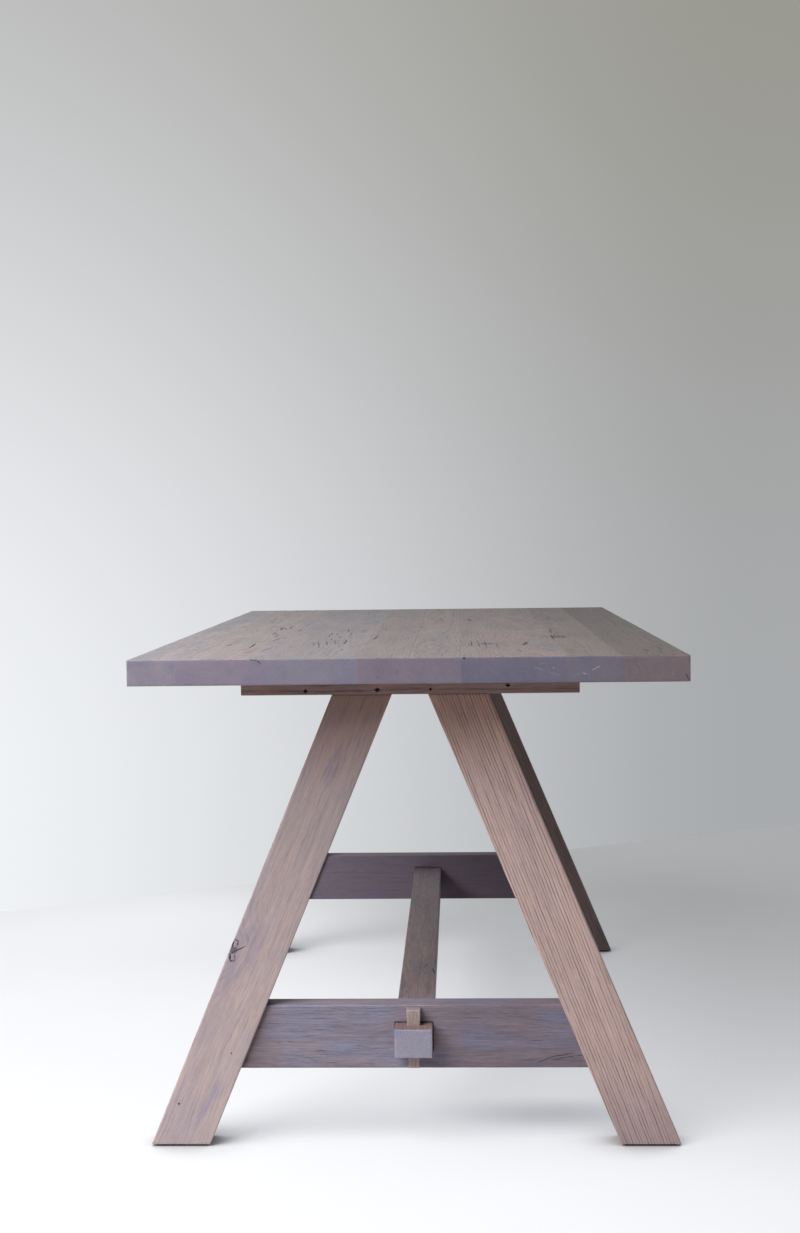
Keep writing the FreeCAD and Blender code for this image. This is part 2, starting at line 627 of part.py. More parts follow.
for board_number in range(1, BOARD_COUNT + 1):
    make_board(board_number)
for joint_number in range(1, BOARD_COUNT):
    make_joint_tenons(joint_number)
make_beam()
for end_name, end_sign in (("near", "-"), ("far", "")):
    trestle_y = f"{end_sign}{TRESTLE_MIDDLE}"
    make_batten(f"{end_name}_batten", trestle_y, has_nail_holes=end_name == "near")
    make_rail(f"{end_name}_rail", trestle_y)
    for side_name in ("left", "right"):
        is_left = side_name == "left"
        make_leg(f"{end_name}_{side_name}_leg", trestle_y, left=is_left)
        make_foot_pad(f"{end_name}_{side_name}_foot_pad", trestle_y, left=is_left)
    make_leg_screws(f"{end_name}_leg_screws", trestle_y)
    make_top_bolts(f"{end_name}_top_bolts", trestle_y)
    make_rings(
        f"{end_name}_top_washers", trestle_y, BOLT_HEAD_TOP, "Sizes.washer_thickness",
        "Sizes.washer_diameter", "Sizes.bolt_diameter + 2 * Sizes.washer_gap",
    )
    make_rings(
        f"{end_name}_top_inserts", trestle_y, TOP_UNDERSIDE, "Sizes.insert_length",
        "Sizes.insert_diameter", "Sizes.bolt_diameter + 2 * Sizes.insert_gap",
    )
    key_y = f"{end_sign}({RAIL_FACE} + Sizes.key_gap)"
    make_key(f"{end_name}_key", key_y, far=end_name == "far")

doc.recompute()
for item in doc.Objects:
    if {"Invalid", "Error"} & set(item.State):
        raise RuntimeError(f"{item.Name} did not recompute: {item.State}")
for piece in SUB_PARTS:
    if piece.Shape.isNull() or not piece.Shape.isValid():
        raise RuntimeError(f"{piece.Label} has no valid shape")

os.makedirs("parts", exist_ok=True)
for piece in SUB_PARTS:
    piece.Shape.exportStep(f"parts/{piece.Label}.step")
    print(piece.Label, len(piece.Shape.Solids), round(piece.Shape.Volume / 1000, 2), "cm3")
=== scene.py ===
"""A trestle table in solid oak, grey-brown and open-grained, on a pale studio floor."""
import math

import bpy
import numpy as np
from mathutils import Matrix, Vector


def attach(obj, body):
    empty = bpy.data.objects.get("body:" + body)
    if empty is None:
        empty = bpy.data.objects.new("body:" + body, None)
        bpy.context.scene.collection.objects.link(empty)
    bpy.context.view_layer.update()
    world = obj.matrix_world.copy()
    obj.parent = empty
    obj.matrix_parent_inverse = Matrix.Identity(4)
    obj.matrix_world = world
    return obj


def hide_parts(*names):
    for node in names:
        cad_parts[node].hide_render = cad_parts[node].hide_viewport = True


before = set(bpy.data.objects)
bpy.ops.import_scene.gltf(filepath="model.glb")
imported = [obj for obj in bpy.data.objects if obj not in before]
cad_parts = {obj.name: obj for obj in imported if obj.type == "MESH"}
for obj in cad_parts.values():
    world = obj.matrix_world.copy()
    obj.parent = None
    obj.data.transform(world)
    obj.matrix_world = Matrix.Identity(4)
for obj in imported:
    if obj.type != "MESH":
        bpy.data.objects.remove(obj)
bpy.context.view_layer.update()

# ------------------------------------------------------------------------------------------------------------
# The camera. It stands a little right of the table's middle line, just above the height of the top, and looks
# slightly left and down along the table's length.

camera_place = Vector((0.0765, -3.2411, 0.9455))
turn_left, look_down, roll = (math.radians(angle) for angle in (1.975, 2.861, -0.698))
frame_width, focal_length = 36, 50.43

level_sight = Vector((-math.sin(turn_left), math.cos(turn_left), 0))
level_right = Vector((math.cos(turn_left), math.sin(turn_left), 0))
straight_up = Vector((0, 0, 1))
sight = level_sight * math.cos(look_down) - straight_up * math.sin(look_down)
above = straight_up * math.cos(look_down) + level_sight * math.sin(look_down)
camera_right = level_right * math.cos(roll) + above * math.sin(roll)
camera_up = above * math.cos(roll) - level_right * math.sin(roll)

lens = bpy.data.cameras.new("camera")
lens.sensor_fit = "AUTO"
lens.sensor_width = frame_width
lens.lens = focal_length
camera = bpy.data.objects.new("camera", lens)
bpy.context.scene.collection.objects.link(camera)
camera_turn = Matrix((camera_right, camera_up, -sight)).transposed()
camera.matrix_world = Matrix.Translation(camera_place) @ camera_turn.to_4x4()
bpy.context.scene.camera = camera
bpy.context.scene.view_settings.view_transform = "Standard"


# ------------------------------------------------------------------------------------------------------------
# The room: a white floor, and a plain wall that runs away to the right behind the table. Both are stage and
# are seen from their fronts only, so that the wall hides nothing from a camera behind it. Both carry painted
# light: they grow darker away from the window, three soft pools paint light and shadow on the floor near the
# table, and the floor is painted darker round the feet as contact shade.


def feed(tree, node, *values, **named):
    """Feeds a node's inputs, in their order or by name with _ for a space. A value is another node's socket,
    to link, or a number, vector or colour, to hold. None leaves an input alone."""
    inputs = [*node.inputs[:len(values)], *(node.inputs[name.replace("_", " ")] for name in named)]
    for socket, value in zip(inputs, [*values, *named.values()]):
        if isinstance(value, bpy.types.NodeSocket):
            tree.links.new(value, socket)
        elif value is not None:
            socket.default_value = value


def put(tree, kind, *values, out=0, **settings):
    """Adds a shader node with its settings, feeds it with values, and returns one of its outputs."""
    node = tree.nodes.new("ShaderNode" + kind)
    for name, value in settings.items():
        setattr(node, name, value)
    feed(tree, node, *values)
    return node.outputs[out]


def calc(tree, operation, *values, clamp=False):
    """A Math node on numbers."""
    return put(tree, "Math", *values, operation=operation, use_clamp=clamp)


def times(tree, first, *others):
    """The product of two or more numbers."""
    for other in others:
        first = calc(tree, "MULTIPLY", first, other)
    return first


def vector_calc(tree, operation, *values):
    """A Vector Math node that gives a vector."""
    return put(tree, "VectorMath", *values, operation=operation)


def measure(tree, operation, *values):
    """A Vector Math node that gives a number: a length, a distance or a dot product."""
    return put(tree, "VectorMath", *values, operation=operation, out="Value")


def scaled(tree, vector, factor):
    """A vector times a number."""
    return put(tree, "VectorMath", vector, None, None, factor, operation="SCALE")


def ramp(tree, value, low, high, to_low=0.0, to_high=1.0):
    """A smooth step: to_low where value is at or under low, to_high where it is at or over high."""
    return put(tree, "MapRange", value, low, high, to_low, to_high, interpolation_type="SMOOTHSTEP")


def mix_colour(tree, share, first, second, how="MIX"):
    """A Mix node on colours: how it blends the second over the first, by a share from 0 to 1."""
    not_colours = [None] * 5
    return put(tree, "Mix", share, *not_colours, first, second, out=2, data_type="RGBA", blend_type=how)


def new_material(name):
    """An empty material: its node tree and its output's Surface socket."""
    material = bpy.data.materials.new(name)
    material.use_nodes = True
    tree = material.node_tree
    tree.nodes.clear()
    surface = tree.nodes.new("ShaderNodeOutputMaterial").inputs["Surface"]
    return material, tree, surface


def stage_sheet(name, corners, material):
    """A flat four-cornered sheet of the room."""
    mesh = bpy.data.meshes.new(name)
    mesh.from_pydata(corners, [], [(0, 1, 2, 3)])
    mesh.materials.append(material)
    sheet = bpy.data.objects.new(name, mesh)
    bpy.context.scene.collection.objects.link(sheet)
    return sheet


def grey(level, tint=(1, 1, 1)):
    """A colour from a level and a tint."""
    return (*(level * channel for channel in tint), 1)


def seen_paint(tree, seen_colour, seen_glow, bounced_colour, bounced_glow):
    """A matt paint with a faint glow of its own: one look to a camera or a gloss, a duller one to light that
    bounces. From behind it is clear."""
    path = tree.nodes.new("ShaderNodeLightPath").outputs
    straight = calc(tree, "MAXIMUM", path["Is Camera Ray"], path["Is Glossy Ray"])
    shown, bounced = (
        put(tree, "AddShader", put(tree, "BsdfDiffuse", colour), put(tree, "Emission", glow, 1.0))
        for colour, glow in ((seen_colour, seen_glow), (bounced_colour, bounced_glow))
    )
    front = put(tree, "MixShader", straight, bounced, shown)
    behind = put(tree, "NewGeometry", out="Backfacing")
    return put(tree, "MixShader", behind, front, put(tree, "BsdfTransparent"))


window_place = Vector((-1.7, -2.0, 2.7))
sky_seen = grey(1, (0.78, 0.79, 0.80))

floor_paint, tree, surface = new_material("floor_paint")
place = put(tree, "TexCoord", out="Object")
x, y = (put(tree, "SeparateXYZ", place, out=axis) for axis in "XY")
# Painted light: the floor's glow falls from pale to grey away from the window, as its light falls off.
from_window = calc(tree, "ADD", times(tree, y, 0.75), times(tree, x, 0.9))
shade = ramp(tree, from_window, -0.5, 1.7)
from_middle = measure(tree, "LENGTH", place)
far = ramp(tree, from_middle, 3.2, 12)
under_window = measure(tree, "DISTANCE", place, (window_place.x, window_place.y, 0))
paint = mix_colour(tree, shade, grey(0.305, (0.985, 0.99, 1)), grey(0.30, (0.98, 0.99, 1)))
cloud = put(tree, "TexNoise", place, None, 2.2, 3.0)
paint = mix_colour(tree, ramp(tree, cloud, 0.3, 0.7, 0.0, 0.05), paint, grey(0.5))
# Painted shade: the paint is darker right under the window lamp, to offset the light it gets there.
paint = mix_colour(tree, ramp(tree, under_window, 0.2, 1.9, 0.6, 0.0), paint, grey(0.1))
paint = mix_colour(tree, far, paint, grey(0))
glow = mix_colour(tree, shade, grey(0.58, (0.965, 0.99, 1.045)), grey(0.285, (0.975, 1.0, 1.02)))
glow = mix_colour(tree, far, glow, sky_seen)
# Painted light and shadow: the first two pools lift the floor's glow under the table and at its far left, and
# the third darkens it as a painted shadow of the near rail and right leg.
painted_light_pools = (
    ((-0.08, 0.05, 0), (0.40, 0.85), 0.085),
    ((-0.6, 1.05, 0), (0.60, 0.60), 0.08),
    ((0.215, -0.48, 0), (0.23, 0.095), -0.175),
)
for middle, (reach_x, reach_y), lift in painted_light_pools:
    from_pool = vector_calc(tree, "SUBTRACT", place, middle)
    from_pool = vector_calc(tree, "MULTIPLY", from_pool, (1 / reach_x, 1 / reach_y, 0))
    glow = vector_calc(tree, "ADD", glow, ramp(tree, measure(tree, "LENGTH", from_pool), 0.0, 1.0, lift, 0.0))
# Painted shade: near the table the floor's glow darkens almost to black where the table stands close over it.
contact_shade = put(tree, "AmbientOcclusion", None, 0.11, out="AO", samples=8)
under_table = ramp(tree, from_middle, 1.0, 1.2, 1.0, 0.0)
contact_shade = times(tree, ramp(tree, contact_shade, 0.3, 0.95, 1.0, 0.0), under_table)
glow = mix_colour(tree, contact_shade, glow, grey(0.05, (1, 0.96, 1.06)))
# Painted light: the floor's colour to bounced light also darkens away from the window.
bounced = mix_colour(tree, shade, grey(0.40), grey(0.08))
tree.links.new(seen_paint(tree, paint, glow, bounced, grey(0)), surface)
floor_reach = 60
floor_corners = [(floor_reach * x, floor_reach * y, 0) for x, y in ((-1, -1), (1, -1), (1, 1), (-1, 1))]
stage_sheet("studio_floor", floor_corners, floor_paint)

wall_foot = Vector((-1.085, 1.017, 0))
wall_along = Vector((2.233, 1.216, 0)).normalized()
wall_left, wall_right, wall_height = -40, 40, 20

wall_paint, tree, surface = new_material("wall_paint")
place = put(tree, "TexCoord", out="Object")
across = measure(tree, "DOT_PRODUCT", place, wall_along)
height = put(tree, "SeparateXYZ", place, out="Z")
# Painted light: the wall is black to the lamps and shows only a glow, brightest low on the left and darker to
# the right and upwards, as the window's light falls off.
to_right = ramp(tree, across, -0.95, 1.92)
to_top = ramp(tree, height, 0.3, 2.75)
low_band = mix_colour(tree, to_right, grey(0.945, (0.965, 0.985, 1.02)), grey(0.405, (0.97, 1, 1.03)))
high_band = mix_colour(tree, to_right, grey(0.495, (1.0, 1.0, 1.0)), grey(0.325, (1.0, 0.985, 0.88)))
paint = mix_colour(tree, to_top, low_band, high_band)
tree.links.new(seen_paint(tree, grey(0), paint, grey(0.22), grey(0.15)), surface)
low_left, low_right = (wall_foot + wall_along * span for span in (wall_left, wall_right))
rise = Vector((0, 0, wall_height))
stage_sheet("studio_wall", [low_left, low_right, low_right + rise, low_left + rise], wall_paint)

# ------------------------------------------------------------------------------------------------------------
# The light: one large soft lamp like a window, in front of the table on its left, and a dim sky, brighter on
# the right, that fills the shadows.

window = bpy.data.lights.new("window", "AREA")
window.shape = "RECTANGLE"
window.size, window.size_y = 2.2, 3.0
window.energy = 199
window.color = (1.0, 0.985, 0.97)
lamp = bpy.data.objects.new("window", window)
bpy.context.scene.collection.objects.link(lamp)
window_aim = Vector((-0.4, -0.7, 0.3))
lamp_turn = (window_aim - window_place).to_track_quat("-Z", "Y").to_matrix()
lamp.matrix_world = Matrix.Translation(window_place) @ lamp_turn.to_4x4()
lamp.visible_camera = False

world = bpy.data.worlds.new("sky")
world.use_nodes = True
tree = world.node_tree
tree.nodes.clear()
surface = tree.nodes.new("ShaderNodeOutputWorld").inputs["Surface"]
to_right = measure(tree, "DOT_PRODUCT", put(tree, "TexCoord"), (0.94, 0.34, 0))
fill = put(tree, "Background", grey(1, (0.94, 0.90, 0.88)), ramp(tree, to_right, 0.5, 0.97, 0.12, 0.9))
pale = put(tree, "Background", sky_seen, 1.0)
tree.links.new(put(tree, "MixShader", put(tree, "LightPath"), fill, pale), surface)
bpy.context.scene.world = world


# ------------------------------------------------------------------------------------------------------------
# The legs: four square-edged oak legs, splayed and cut level at both ends. Each has a mortise in its inner
# edge for the cross rail's tenon, and its top butts the batten. The wood is straight in the grain, with a
# knot in the near left one.

X, Y, Z = range(3)
MM = 0.001
wear_reach = 4.0
round_middle = 0.414
sharp_turn = math.radians(38)


def grid_lines(low, high, step, close=()):
    """Grid lines from low to high: at both ends, at each value of close that lies between them, and evenly in
    the gaps, no further apart than step."""
    fixed = np.unique(np.round([low, high, *(line for line in close if low < line < high)], 4))
    spans = [
        np.linspace(start, end, math.ceil((end - start) / step) + 1)[:-1]
        for start, end in zip(fixed[:-1], fixed[1:])
    ]
    return np.append(np.concatenate(spans), fixed[-1])


def arris_lines(low, high, radius, worn=wear_reach):
    """Where grid lines stand behind the two arrises of a face: in the middle and at the end of each round,
    and where the wear ends. A radius may be a pair, one for each arris."""
    low_round, high_round = np.broadcast_to(radius, 2)
    return [
        *(low + reach for reach in (round_middle * low_round, low_round, worn)),
        *(high - reach for reach in (round_middle * high_round, high_round, worn)),
    ]


def block_skin(xs, ys, zs, empty=()):
    """The skin of a block that grid planes at xs, ys and zs cut into cells, less the boxes in empty.

    Between a filled cell and an empty one stands one four-sided face that looks into the empty cell. Faces
    that meet at a grid point share its vertex, so the skin is closed. Returns the vertices' places and the
    faces.
    """
    lines = [np.asarray(line, float) for line in (xs, ys, zs)]
    middles = np.meshgrid(*((line[1:] + line[:-1]) / 2 for line in lines), indexing="ij")
    filled = np.ones(middles[0].shape, bool)
    for low, high in empty:
        inside = [(middles[k] > low[k]) & (middles[k] < high[k]) for k in range(3)]
        filled &= ~(inside[0] & inside[1] & inside[2])
    padded = np.pad(filled, 1).astype(np.int8)
    points_each_way = [len(line) for line in lines]
    quads = []
    for axis in range(3):
        ahead, beside = (axis + 1) % 3, (axis + 2) % 3
        core = [slice(1, -1)] * 3
        core[axis] = slice(None)
        change = np.diff(padded[tuple(core)], axis=axis)
        for sign, order in ((-1, (0, 1, 2, 3)), (1, (0, 3, 2, 1))):
            cell = np.array(np.nonzero(change == sign))
            corners = np.repeat(cell[:, None, :], 4, axis=1)
            corners[ahead, (1, 2)] += 1
            corners[beside, (2, 3)] += 1
            flat = np.ravel_multi_index(corners.reshape(3, -1), points_each_way).reshape(4, -1)
            quads.append(flat[list(order)].T)
    used, faces = np.unique(np.concatenate(quads), return_inverse=True)
    index = np.unravel_index(used, points_each_way)
    return np.column_stack([lines[k][index[k]] for k in range(3)]), faces.reshape(-1, 4)


def ease(points, axes, low, high, radius):
    """Rounds the four arrises that run square to two axes, between the corners low and high of a block. A
    point nearer than the radius to two of their faces moves towards the round's centre line until it is one
    radius from it. A radius may be one for each point."""
    low, high = (np.array(corner, float)[list(axes)] for corner in (low, high))
    middle, half = (low + high) / 2, (high - low) / 2
    radius = np.broadcast_to(radius, len(points))[:, None]
    away = points[:, axes] - middle
    past = np.abs(away) - (half - radius)
    near = (past > 1e-9).all(axis=1) & (np.abs(away) < half + 1e-6).all(axis=1)
    share = radius / np.maximum(np.linalg.norm(past, axis=1, keepdims=True), radius)
    moved = middle + np.sign(away) * (half - radius + past * share)
    points[:, axes] = np.where(near[:, None], moved, points[:, axes])


def ease_all(points, low, high, radius):
    """Rounds all twelve arrises of a block."""
    for axes in ((X, Y), (X, Z), (Y, Z)):
        ease(points, axes, low, high, radius)


def wear_of(grid, low, high, worn=wear_reach, kept=()):
    """How worn each vertex of a block's skin is: 1 on an arris, falling in a straight line to 0 at the
    distance worn from it. Arrises of a face whose axis is in kept aren't worn."""
    reach = np.minimum(grid - np.array(low, float), np.array(high, float) - grid)
    reach[:, list(kept)] = worn
    return np.clip(1 - np.sort(reach, axis=1)[:, 1] / worn, 0, 1)


def add_piece(name, points, faces, node, body, slot, finish, **numbers):
    """Makes a mesh from places in millimetres, with named numbers for its vertices, rides it on its body and
    lets it stand for its CAD node."""
    mesh = bpy.data.meshes.new(name)
    mesh.from_pydata((points * MM).tolist(), [], faces.tolist())
    for label, values in numbers.items():
        mesh.attributes.new(label, "FLOAT", "POINT").data.foreach_set("value", values.astype(np.float32))
    mesh.polygons.foreach_set("use_smooth", np.ones(len(faces), bool))
    mesh.set_sharp_from_angle(angle=sharp_turn)
    mesh.materials.append(finish)
    piece = bpy.data.objects.new(name, mesh)
    bpy.context.scene.collection.objects.link(piece)
    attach(piece, body)
    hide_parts(node)
    return piece


def new_group(name, inputs, outputs):
    """An empty shader node group, whose sockets are labels under their kind: its tree, its inputs by label,
    and its output node."""
    group = bpy.data.node_groups.new(name, "ShaderNodeTree")
    for way, sockets in (("INPUT", inputs), ("OUTPUT", outputs)):
        for kind, labels in sockets.items():
            for label in labels:
                group.interface.new_socket(label, in_out=way, socket_type="NodeSocket" + kind)
    entry, result = (group.nodes.new("NodeGroup" + way) for way in ("Input", "Output"))
    return group, {socket.name: socket for socket in entry.outputs if socket.name}, result


# Solid oak, cut from a trunk whose pith runs along the piece's own Z axis at Pith. A point's ring is its
# distance from the pith, let waver, over the ring's width. Each ring begins with a dark band of open pores,
# broken along the grain, and ends pale. Rays are thin sheets through the pith, and show as flecks where a
# face runs along them.
growth, given, result = new_group(
    "oak_growth",
    {"Vector": ["Place", "Pith"], "Float": ["Ring", "Uneven", "Waver", "Bend", "Seed"]},
    {"Float": ["Band", "Pore", "Fleck", "Fibre", "Streak"]},
)
tree = growth


def stretched(tree, place, seed, stretch, detail, out="Fac"):
    """A noise whose cells are as many to the metre along each axis as stretch says."""
    place = vector_calc(tree, "MULTIPLY", place, stretch)
    return put(tree, "TexNoise", place, seed, 1.0, detail, out=out, noise_dimensions="4D")


def swing(tree, noise):
    """A noise's colour as a vector that swings both ways from zero."""
    return vector_calc(tree, "SUBTRACT", noise, (0.5, 0.5, 0.5))


place, seed = given["Place"], given["Seed"]
wavering = place
for stretch, share in (((7, 7, 1.7), 3.0), ((24, 24, 9), 0.8)):
    drift = swing(tree, stretched(tree, place, seed, stretch, 2.0, out="Color"))
    drift = vector_calc(tree, "MULTIPLY", drift, (share, share, 0))
    drift = scaled(tree, drift, given["Waver"])
    wavering = vector_calc(tree, "ADD", wavering, drift)
from_pith = vector_calc(tree, "MULTIPLY", vector_calc(tree, "SUBTRACT", wavering, given["Pith"]), (1, 1, 0))
radius = calc(tree, "ADD", measure(tree, "LENGTH", from_pith), given["Bend"])
ripple = stretched(tree, place, seed, (60, 60, 20), 2.0)
radius = calc(tree, "MULTIPLY_ADD", calc(tree, "SUBTRACT", ripple, 0.5), 0.0018, radius)
turn = calc(tree, "DIVIDE", radius, given["Ring"])
uneven = put(tree, "TexNoise", None, calc(tree, "MULTIPLY_ADD", turn, 0.21, seed), 1.0, 1.0,
             noise_dimensions="1D")
turn = calc(tree, "MULTIPLY_ADD", uneven, given["Uneven"], turn)
in_year = calc(tree, "FRACT", turn)
year_tone = put(tree, "TexWhiteNoise", None, calc(tree, "ADD", calc(tree, "FLOOR", turn), seed),
                noise_dimensions="1D")
band = times(tree, ramp(tree, in_year, 0.0, 0.08), ramp(tree, in_year, 0.12, 0.46, 1.0, 0.0))
broken = stretched(tree, place, seed, (300, 300, 17), 2.0)
band = times(tree, band, ramp(tree, broken, 0.38, 0.58, 0.22, 1.0))
band = times(tree, band, calc(tree, "MULTIPLY_ADD", year_tone, 0.55, 0.45))
fine = stretched(tree, place, seed, (900, 900, 34), 1.0)
pore = times(tree, ramp(tree, fine, 0.55, 0.68), calc(tree, "MULTIPLY_ADD", band, 0.65, 0.35))
long_fibre = stretched(tree, place, seed, (520, 520, 22), 2.0)
short_fibre = stretched(tree, place, seed, (760, 760, 120), 2.0)
fibre = calc(tree, "MULTIPLY_ADD", long_fibre, 0.6, times(tree, short_fibre, 0.4))
streak = stretched(tree, place, seed, (85, 85, 5), 3.0)
from_x, from_y = (put(tree, "SeparateXYZ", from_pith, out=axis) for axis in "XY")
bearing = calc(tree, "ARCTAN2", from_y, from_x)
ray_place = put(tree, "CombineXYZ", times(tree, bearing, 190), times(tree, radius, 55),
                times(tree, put(tree, "SeparateXYZ", place, out="Z"), 90))
ray = put(tree, "TexNoise", ray_place, seed, 1.0, 1.0, noise_dimensions="4D")
fleck = ramp(tree, ray, 0.62, 0.76)
feed(tree, result, band, pore, fleck, fibre, streak)

# A knot: the stub of a branch that grew out along Axis through Centre. Bend pushes the rings round it in a
# bell of the distance from the axis, stretched along the grain. Core is the branch's own dark wood and Halo
# its stain.
knot_group, given, result = new_group(
    "oak_knot",
    {"Vector": ["Place", "Centre", "Axis"], "Float": ["Size", "Push"]},
    {"Float": ["Bend", "Core", "Halo"]},
)
tree = knot_group
away = vector_calc(tree, "SUBTRACT", given["Place"], given["Centre"])
along_axis = scaled(tree, given["Axis"], measure(tree, "DOT_PRODUCT", away, given["Axis"]))
away = vector_calc(tree, "SUBTRACT", away, along_axis)
wide = measure(tree, "LENGTH", vector_calc(tree, "MULTIPLY", away, (1, 1, 0.42)))
bell = calc(tree, "DIVIDE", wide, times(tree, given["Size"], 2.2))
bell = calc(tree, "EXPONENT", times(tree, bell, bell, -1.0))
bend = times(tree, bell, given["Push"])
rough_edge = put(tree, "TexNoise", away, None, 420.0, 2.0)
near = measure(tree, "LENGTH", vector_calc(tree, "MULTIPLY", away, (1, 1, 0.75)))
near = calc(tree, "DIVIDE", calc(tree, "MULTIPLY_ADD", rough_edge, 0.003, near), given["Size"])
core = ramp(tree, near, 0.75, 1.25, 1.0, 0.0)
halo = ramp(tree, calc(tree, "MULTIPLY_ADD", rough_edge, 0.9, calc(tree, "DIVIDE", wide, given["Size"])),
            1.0, 3.4, 1.0, 0.0)
feed(tree, result, bend, core, halo)

# Ragged sides for marks: a place pushed about by a noise, by up to Amount each way.
fray_group, given, result = new_group(
    "oak_fray", {"Vector": ["Place"], "Float": ["Amount"]}, {"Vector": ["Place"]},
)
tree = fray_group
push = swing(tree, put(tree, "TexNoise", given["Place"], None, 130.0, 3.0, out="Color"))
push = scaled(tree, push, given["Amount"])
feed(tree, result, vector_calc(tree, "ADD", given["Place"], push))

# A mark: a thin split, scratch or nail hole, as the points near a straight line from Start to End. It is
# widest in the middle.
mark_group, given, result = new_group(
    "oak_mark", {"Vector": ["Place", "Start", "End"], "Float": ["Half Width"]}, {"Float": ["Mask"]},
)
tree = mark_group
from_start = vector_calc(tree, "SUBTRACT", given["Place"], given["Start"])
run = vector_calc(tree, "SUBTRACT", given["End"], given["Start"])
share = calc(tree, "DIVIDE", measure(tree, "DOT_PRODUCT", from_start, run),
             measure(tree, "DOT_PRODUCT", run, run), clamp=True)
beside = vector_calc(tree, "SUBTRACT", from_start, scaled(tree, run, share))
from_middle = calc(tree, "ABSOLUTE", calc(tree, "MULTIPLY_ADD", share, 2.0, -1.0))
width = times(tree, given["Half Width"], ramp(tree, from_middle, 0.3, 1.0, 1.0, 0.45))
away = calc(tree, "DIVIDE", measure(tree, "LENGTH", beside), width)
feed(tree, result, ramp(tree, away, 0.55, 1.25, 1.0, 0.0))

# The finish: how the grain's masks become colour, roughness and height. Soft grey-blue clouds and tan streaks
# lie along the grain. Worn arrises are paler, splits and knots are darker, and the rails' mortise walls are
# painted dark as shade. End grain is calmer in its figure and takes a tint, which on the beam's ends is
# painted cold light.
finish_group, given, result = new_group(
    "oak_finish",
    {
        "Vector": ["Place"],
        "Float": [
            "Seed", "Band", "Pore", "Fleck", "Fibre", "Streak", "Knot", "Halo", "End", "Edge", "Hollow",
            "Scratch", "Warm Share", "Cloud Share", "Grain", "Figure", "End Grain",
        ],
        "Color": ["Pale", "Dark", "Warm", "Cloud", "End Tint"],
    },
    {"Color": ["Color"], "Float": ["Roughness", "Height"]},
)
tree = finish_group
place, seed = given["Place"], given["Seed"]
end_fade = calc(tree, "MULTIPLY_ADD", given["End"], calc(tree, "SUBTRACT", given["End Grain"], 1.0), 1.0)
banded = times(tree, given["Band"], given["Grain"], end_fade)
tan = stretched(tree, place, calc(tree, "ADD", seed, 17.3), (110, 110, 17), 4.0)
calm_end = calc(tree, "MULTIPLY_ADD", given["End"], -0.55, 1.0)
warmed = times(tree, ramp(tree, tan, 0.46, 0.64), given["Warm Share"], calm_end)
cloud = stretched(tree, place, calc(tree, "ADD", seed, 31.7), (24, 24, 7), 5.0)
cloudy = times(tree, ramp(tree, cloud, 0.42, 0.64), given["Cloud Share"])
stained = times(tree, given["Halo"], ramp(tree, tan, 0.35, 0.62, 0.85, 0.25))
cloudy = calc(tree, "MAXIMUM", cloudy, stained)
wood = mix_colour(tree, warmed, given["Pale"], given["Warm"])
wood = mix_colour(tree, cloudy, wood, given["Cloud"])
wood = mix_colour(tree, banded, wood, given["Dark"])
lively = calc(tree, "MULTIPLY_ADD", given["Fibre"], 1.7, times(tree, given["Streak"], 0.7))
lively = calc(tree, "MULTIPLY_ADD", calc(tree, "SUBTRACT", lively, 1.2),
              times(tree, given["Figure"], calm_end), 1.0)
wood = scaled(tree, wood, lively)
pitted = times(tree, given["Pore"], given["Figure"], calm_end)
wood = mix_colour(tree, pitted, wood, grey(0.38, (1, 0.86, 0.84)), "MULTIPLY")
wood = mix_colour(tree, times(tree, given["Fleck"], 0.06), wood, grey(1, (1, 0.86, 0.8)), "SCREEN")
wood = mix_colour(tree, given["End"], wood, mix_colour(tree, 1.0, wood, given["End Tint"], "MULTIPLY"))
patchy = put(tree, "TexNoise", place, None, 160.0, 3.0)
worn = times(tree, calc(tree, "POWER", given["Edge"], 2.2), ramp(tree, patchy, 0.35, 0.62, 0.2, 1.0))
wood = mix_colour(tree, times(tree, worn, 0.4), wood, scaled(tree, wood, 1.45))
wood = mix_colour(tree, times(tree, given["Knot"], 0.7), wood, grey(0.06, (1, 0.75, 1.0)))
# Hollow darkens the marks, and the rails' mortise walls as painted shade.
wood = mix_colour(tree, ramp(tree, given["Hollow"], 0.05, 0.6), wood, grey(0.03, (1, 0.75, 0.8)))
scratched = times(tree, given["Scratch"], ramp(tree, patchy, 0.4, 0.6, 0.3, 1.0))
wood = mix_colour(tree, scratched, wood, grey(0.55, (1, 0.97, 0.98)))
rough = calc(tree, "MULTIPLY_ADD", given["Band"], 0.10, 0.46)
rough = calc(tree, "MULTIPLY_ADD", given["Pore"], 0.18, rough)
rough = calc(tree, "MULTIPLY_ADD", given["Fibre"], 0.08, rough)
rough = calc(tree, "MULTIPLY_ADD", given["End"], 0.10, rough)
high = calc(tree, "MULTIPLY_ADD", given["Pore"], -0.8, times(tree, given["Fibre"], 0.35))
high = calc(tree, "MULTIPLY_ADD", given["Band"], -0.25, high)
high = calc(tree, "MULTIPLY_ADD", given["Hollow"], -3.0, high)
feed(tree, result, wood, rough, high)


def place_group(tree, group, **values):
    """Puts a node group in a tree, feeds it with named values and returns its outputs."""
    node = tree.nodes.new("ShaderNodeGroup")
    node.node_tree = group
    feed(tree, node, **values)
    return node.outputs


def coat(tree, surface, height=None, bump_strength=0.5, bump_depth=0.00025, **values):
    """Gives a material its surface: a Principled shader fed with named values. Where there is a height, it is
    bumped by bump_depth (m) for each unit of it."""
    shader = tree.nodes.new("ShaderNodeBsdfPrincipled")
    feed(tree, shader, **values)
    if height is not None:
        bump = tree.nodes.new("ShaderNodeBump")
        feed(tree, bump, Strength=bump_strength, Distance=bump_depth, Height=height)
        feed(tree, shader, Normal=bump.outputs[0])
    tree.links.new(shader.outputs[0], surface)


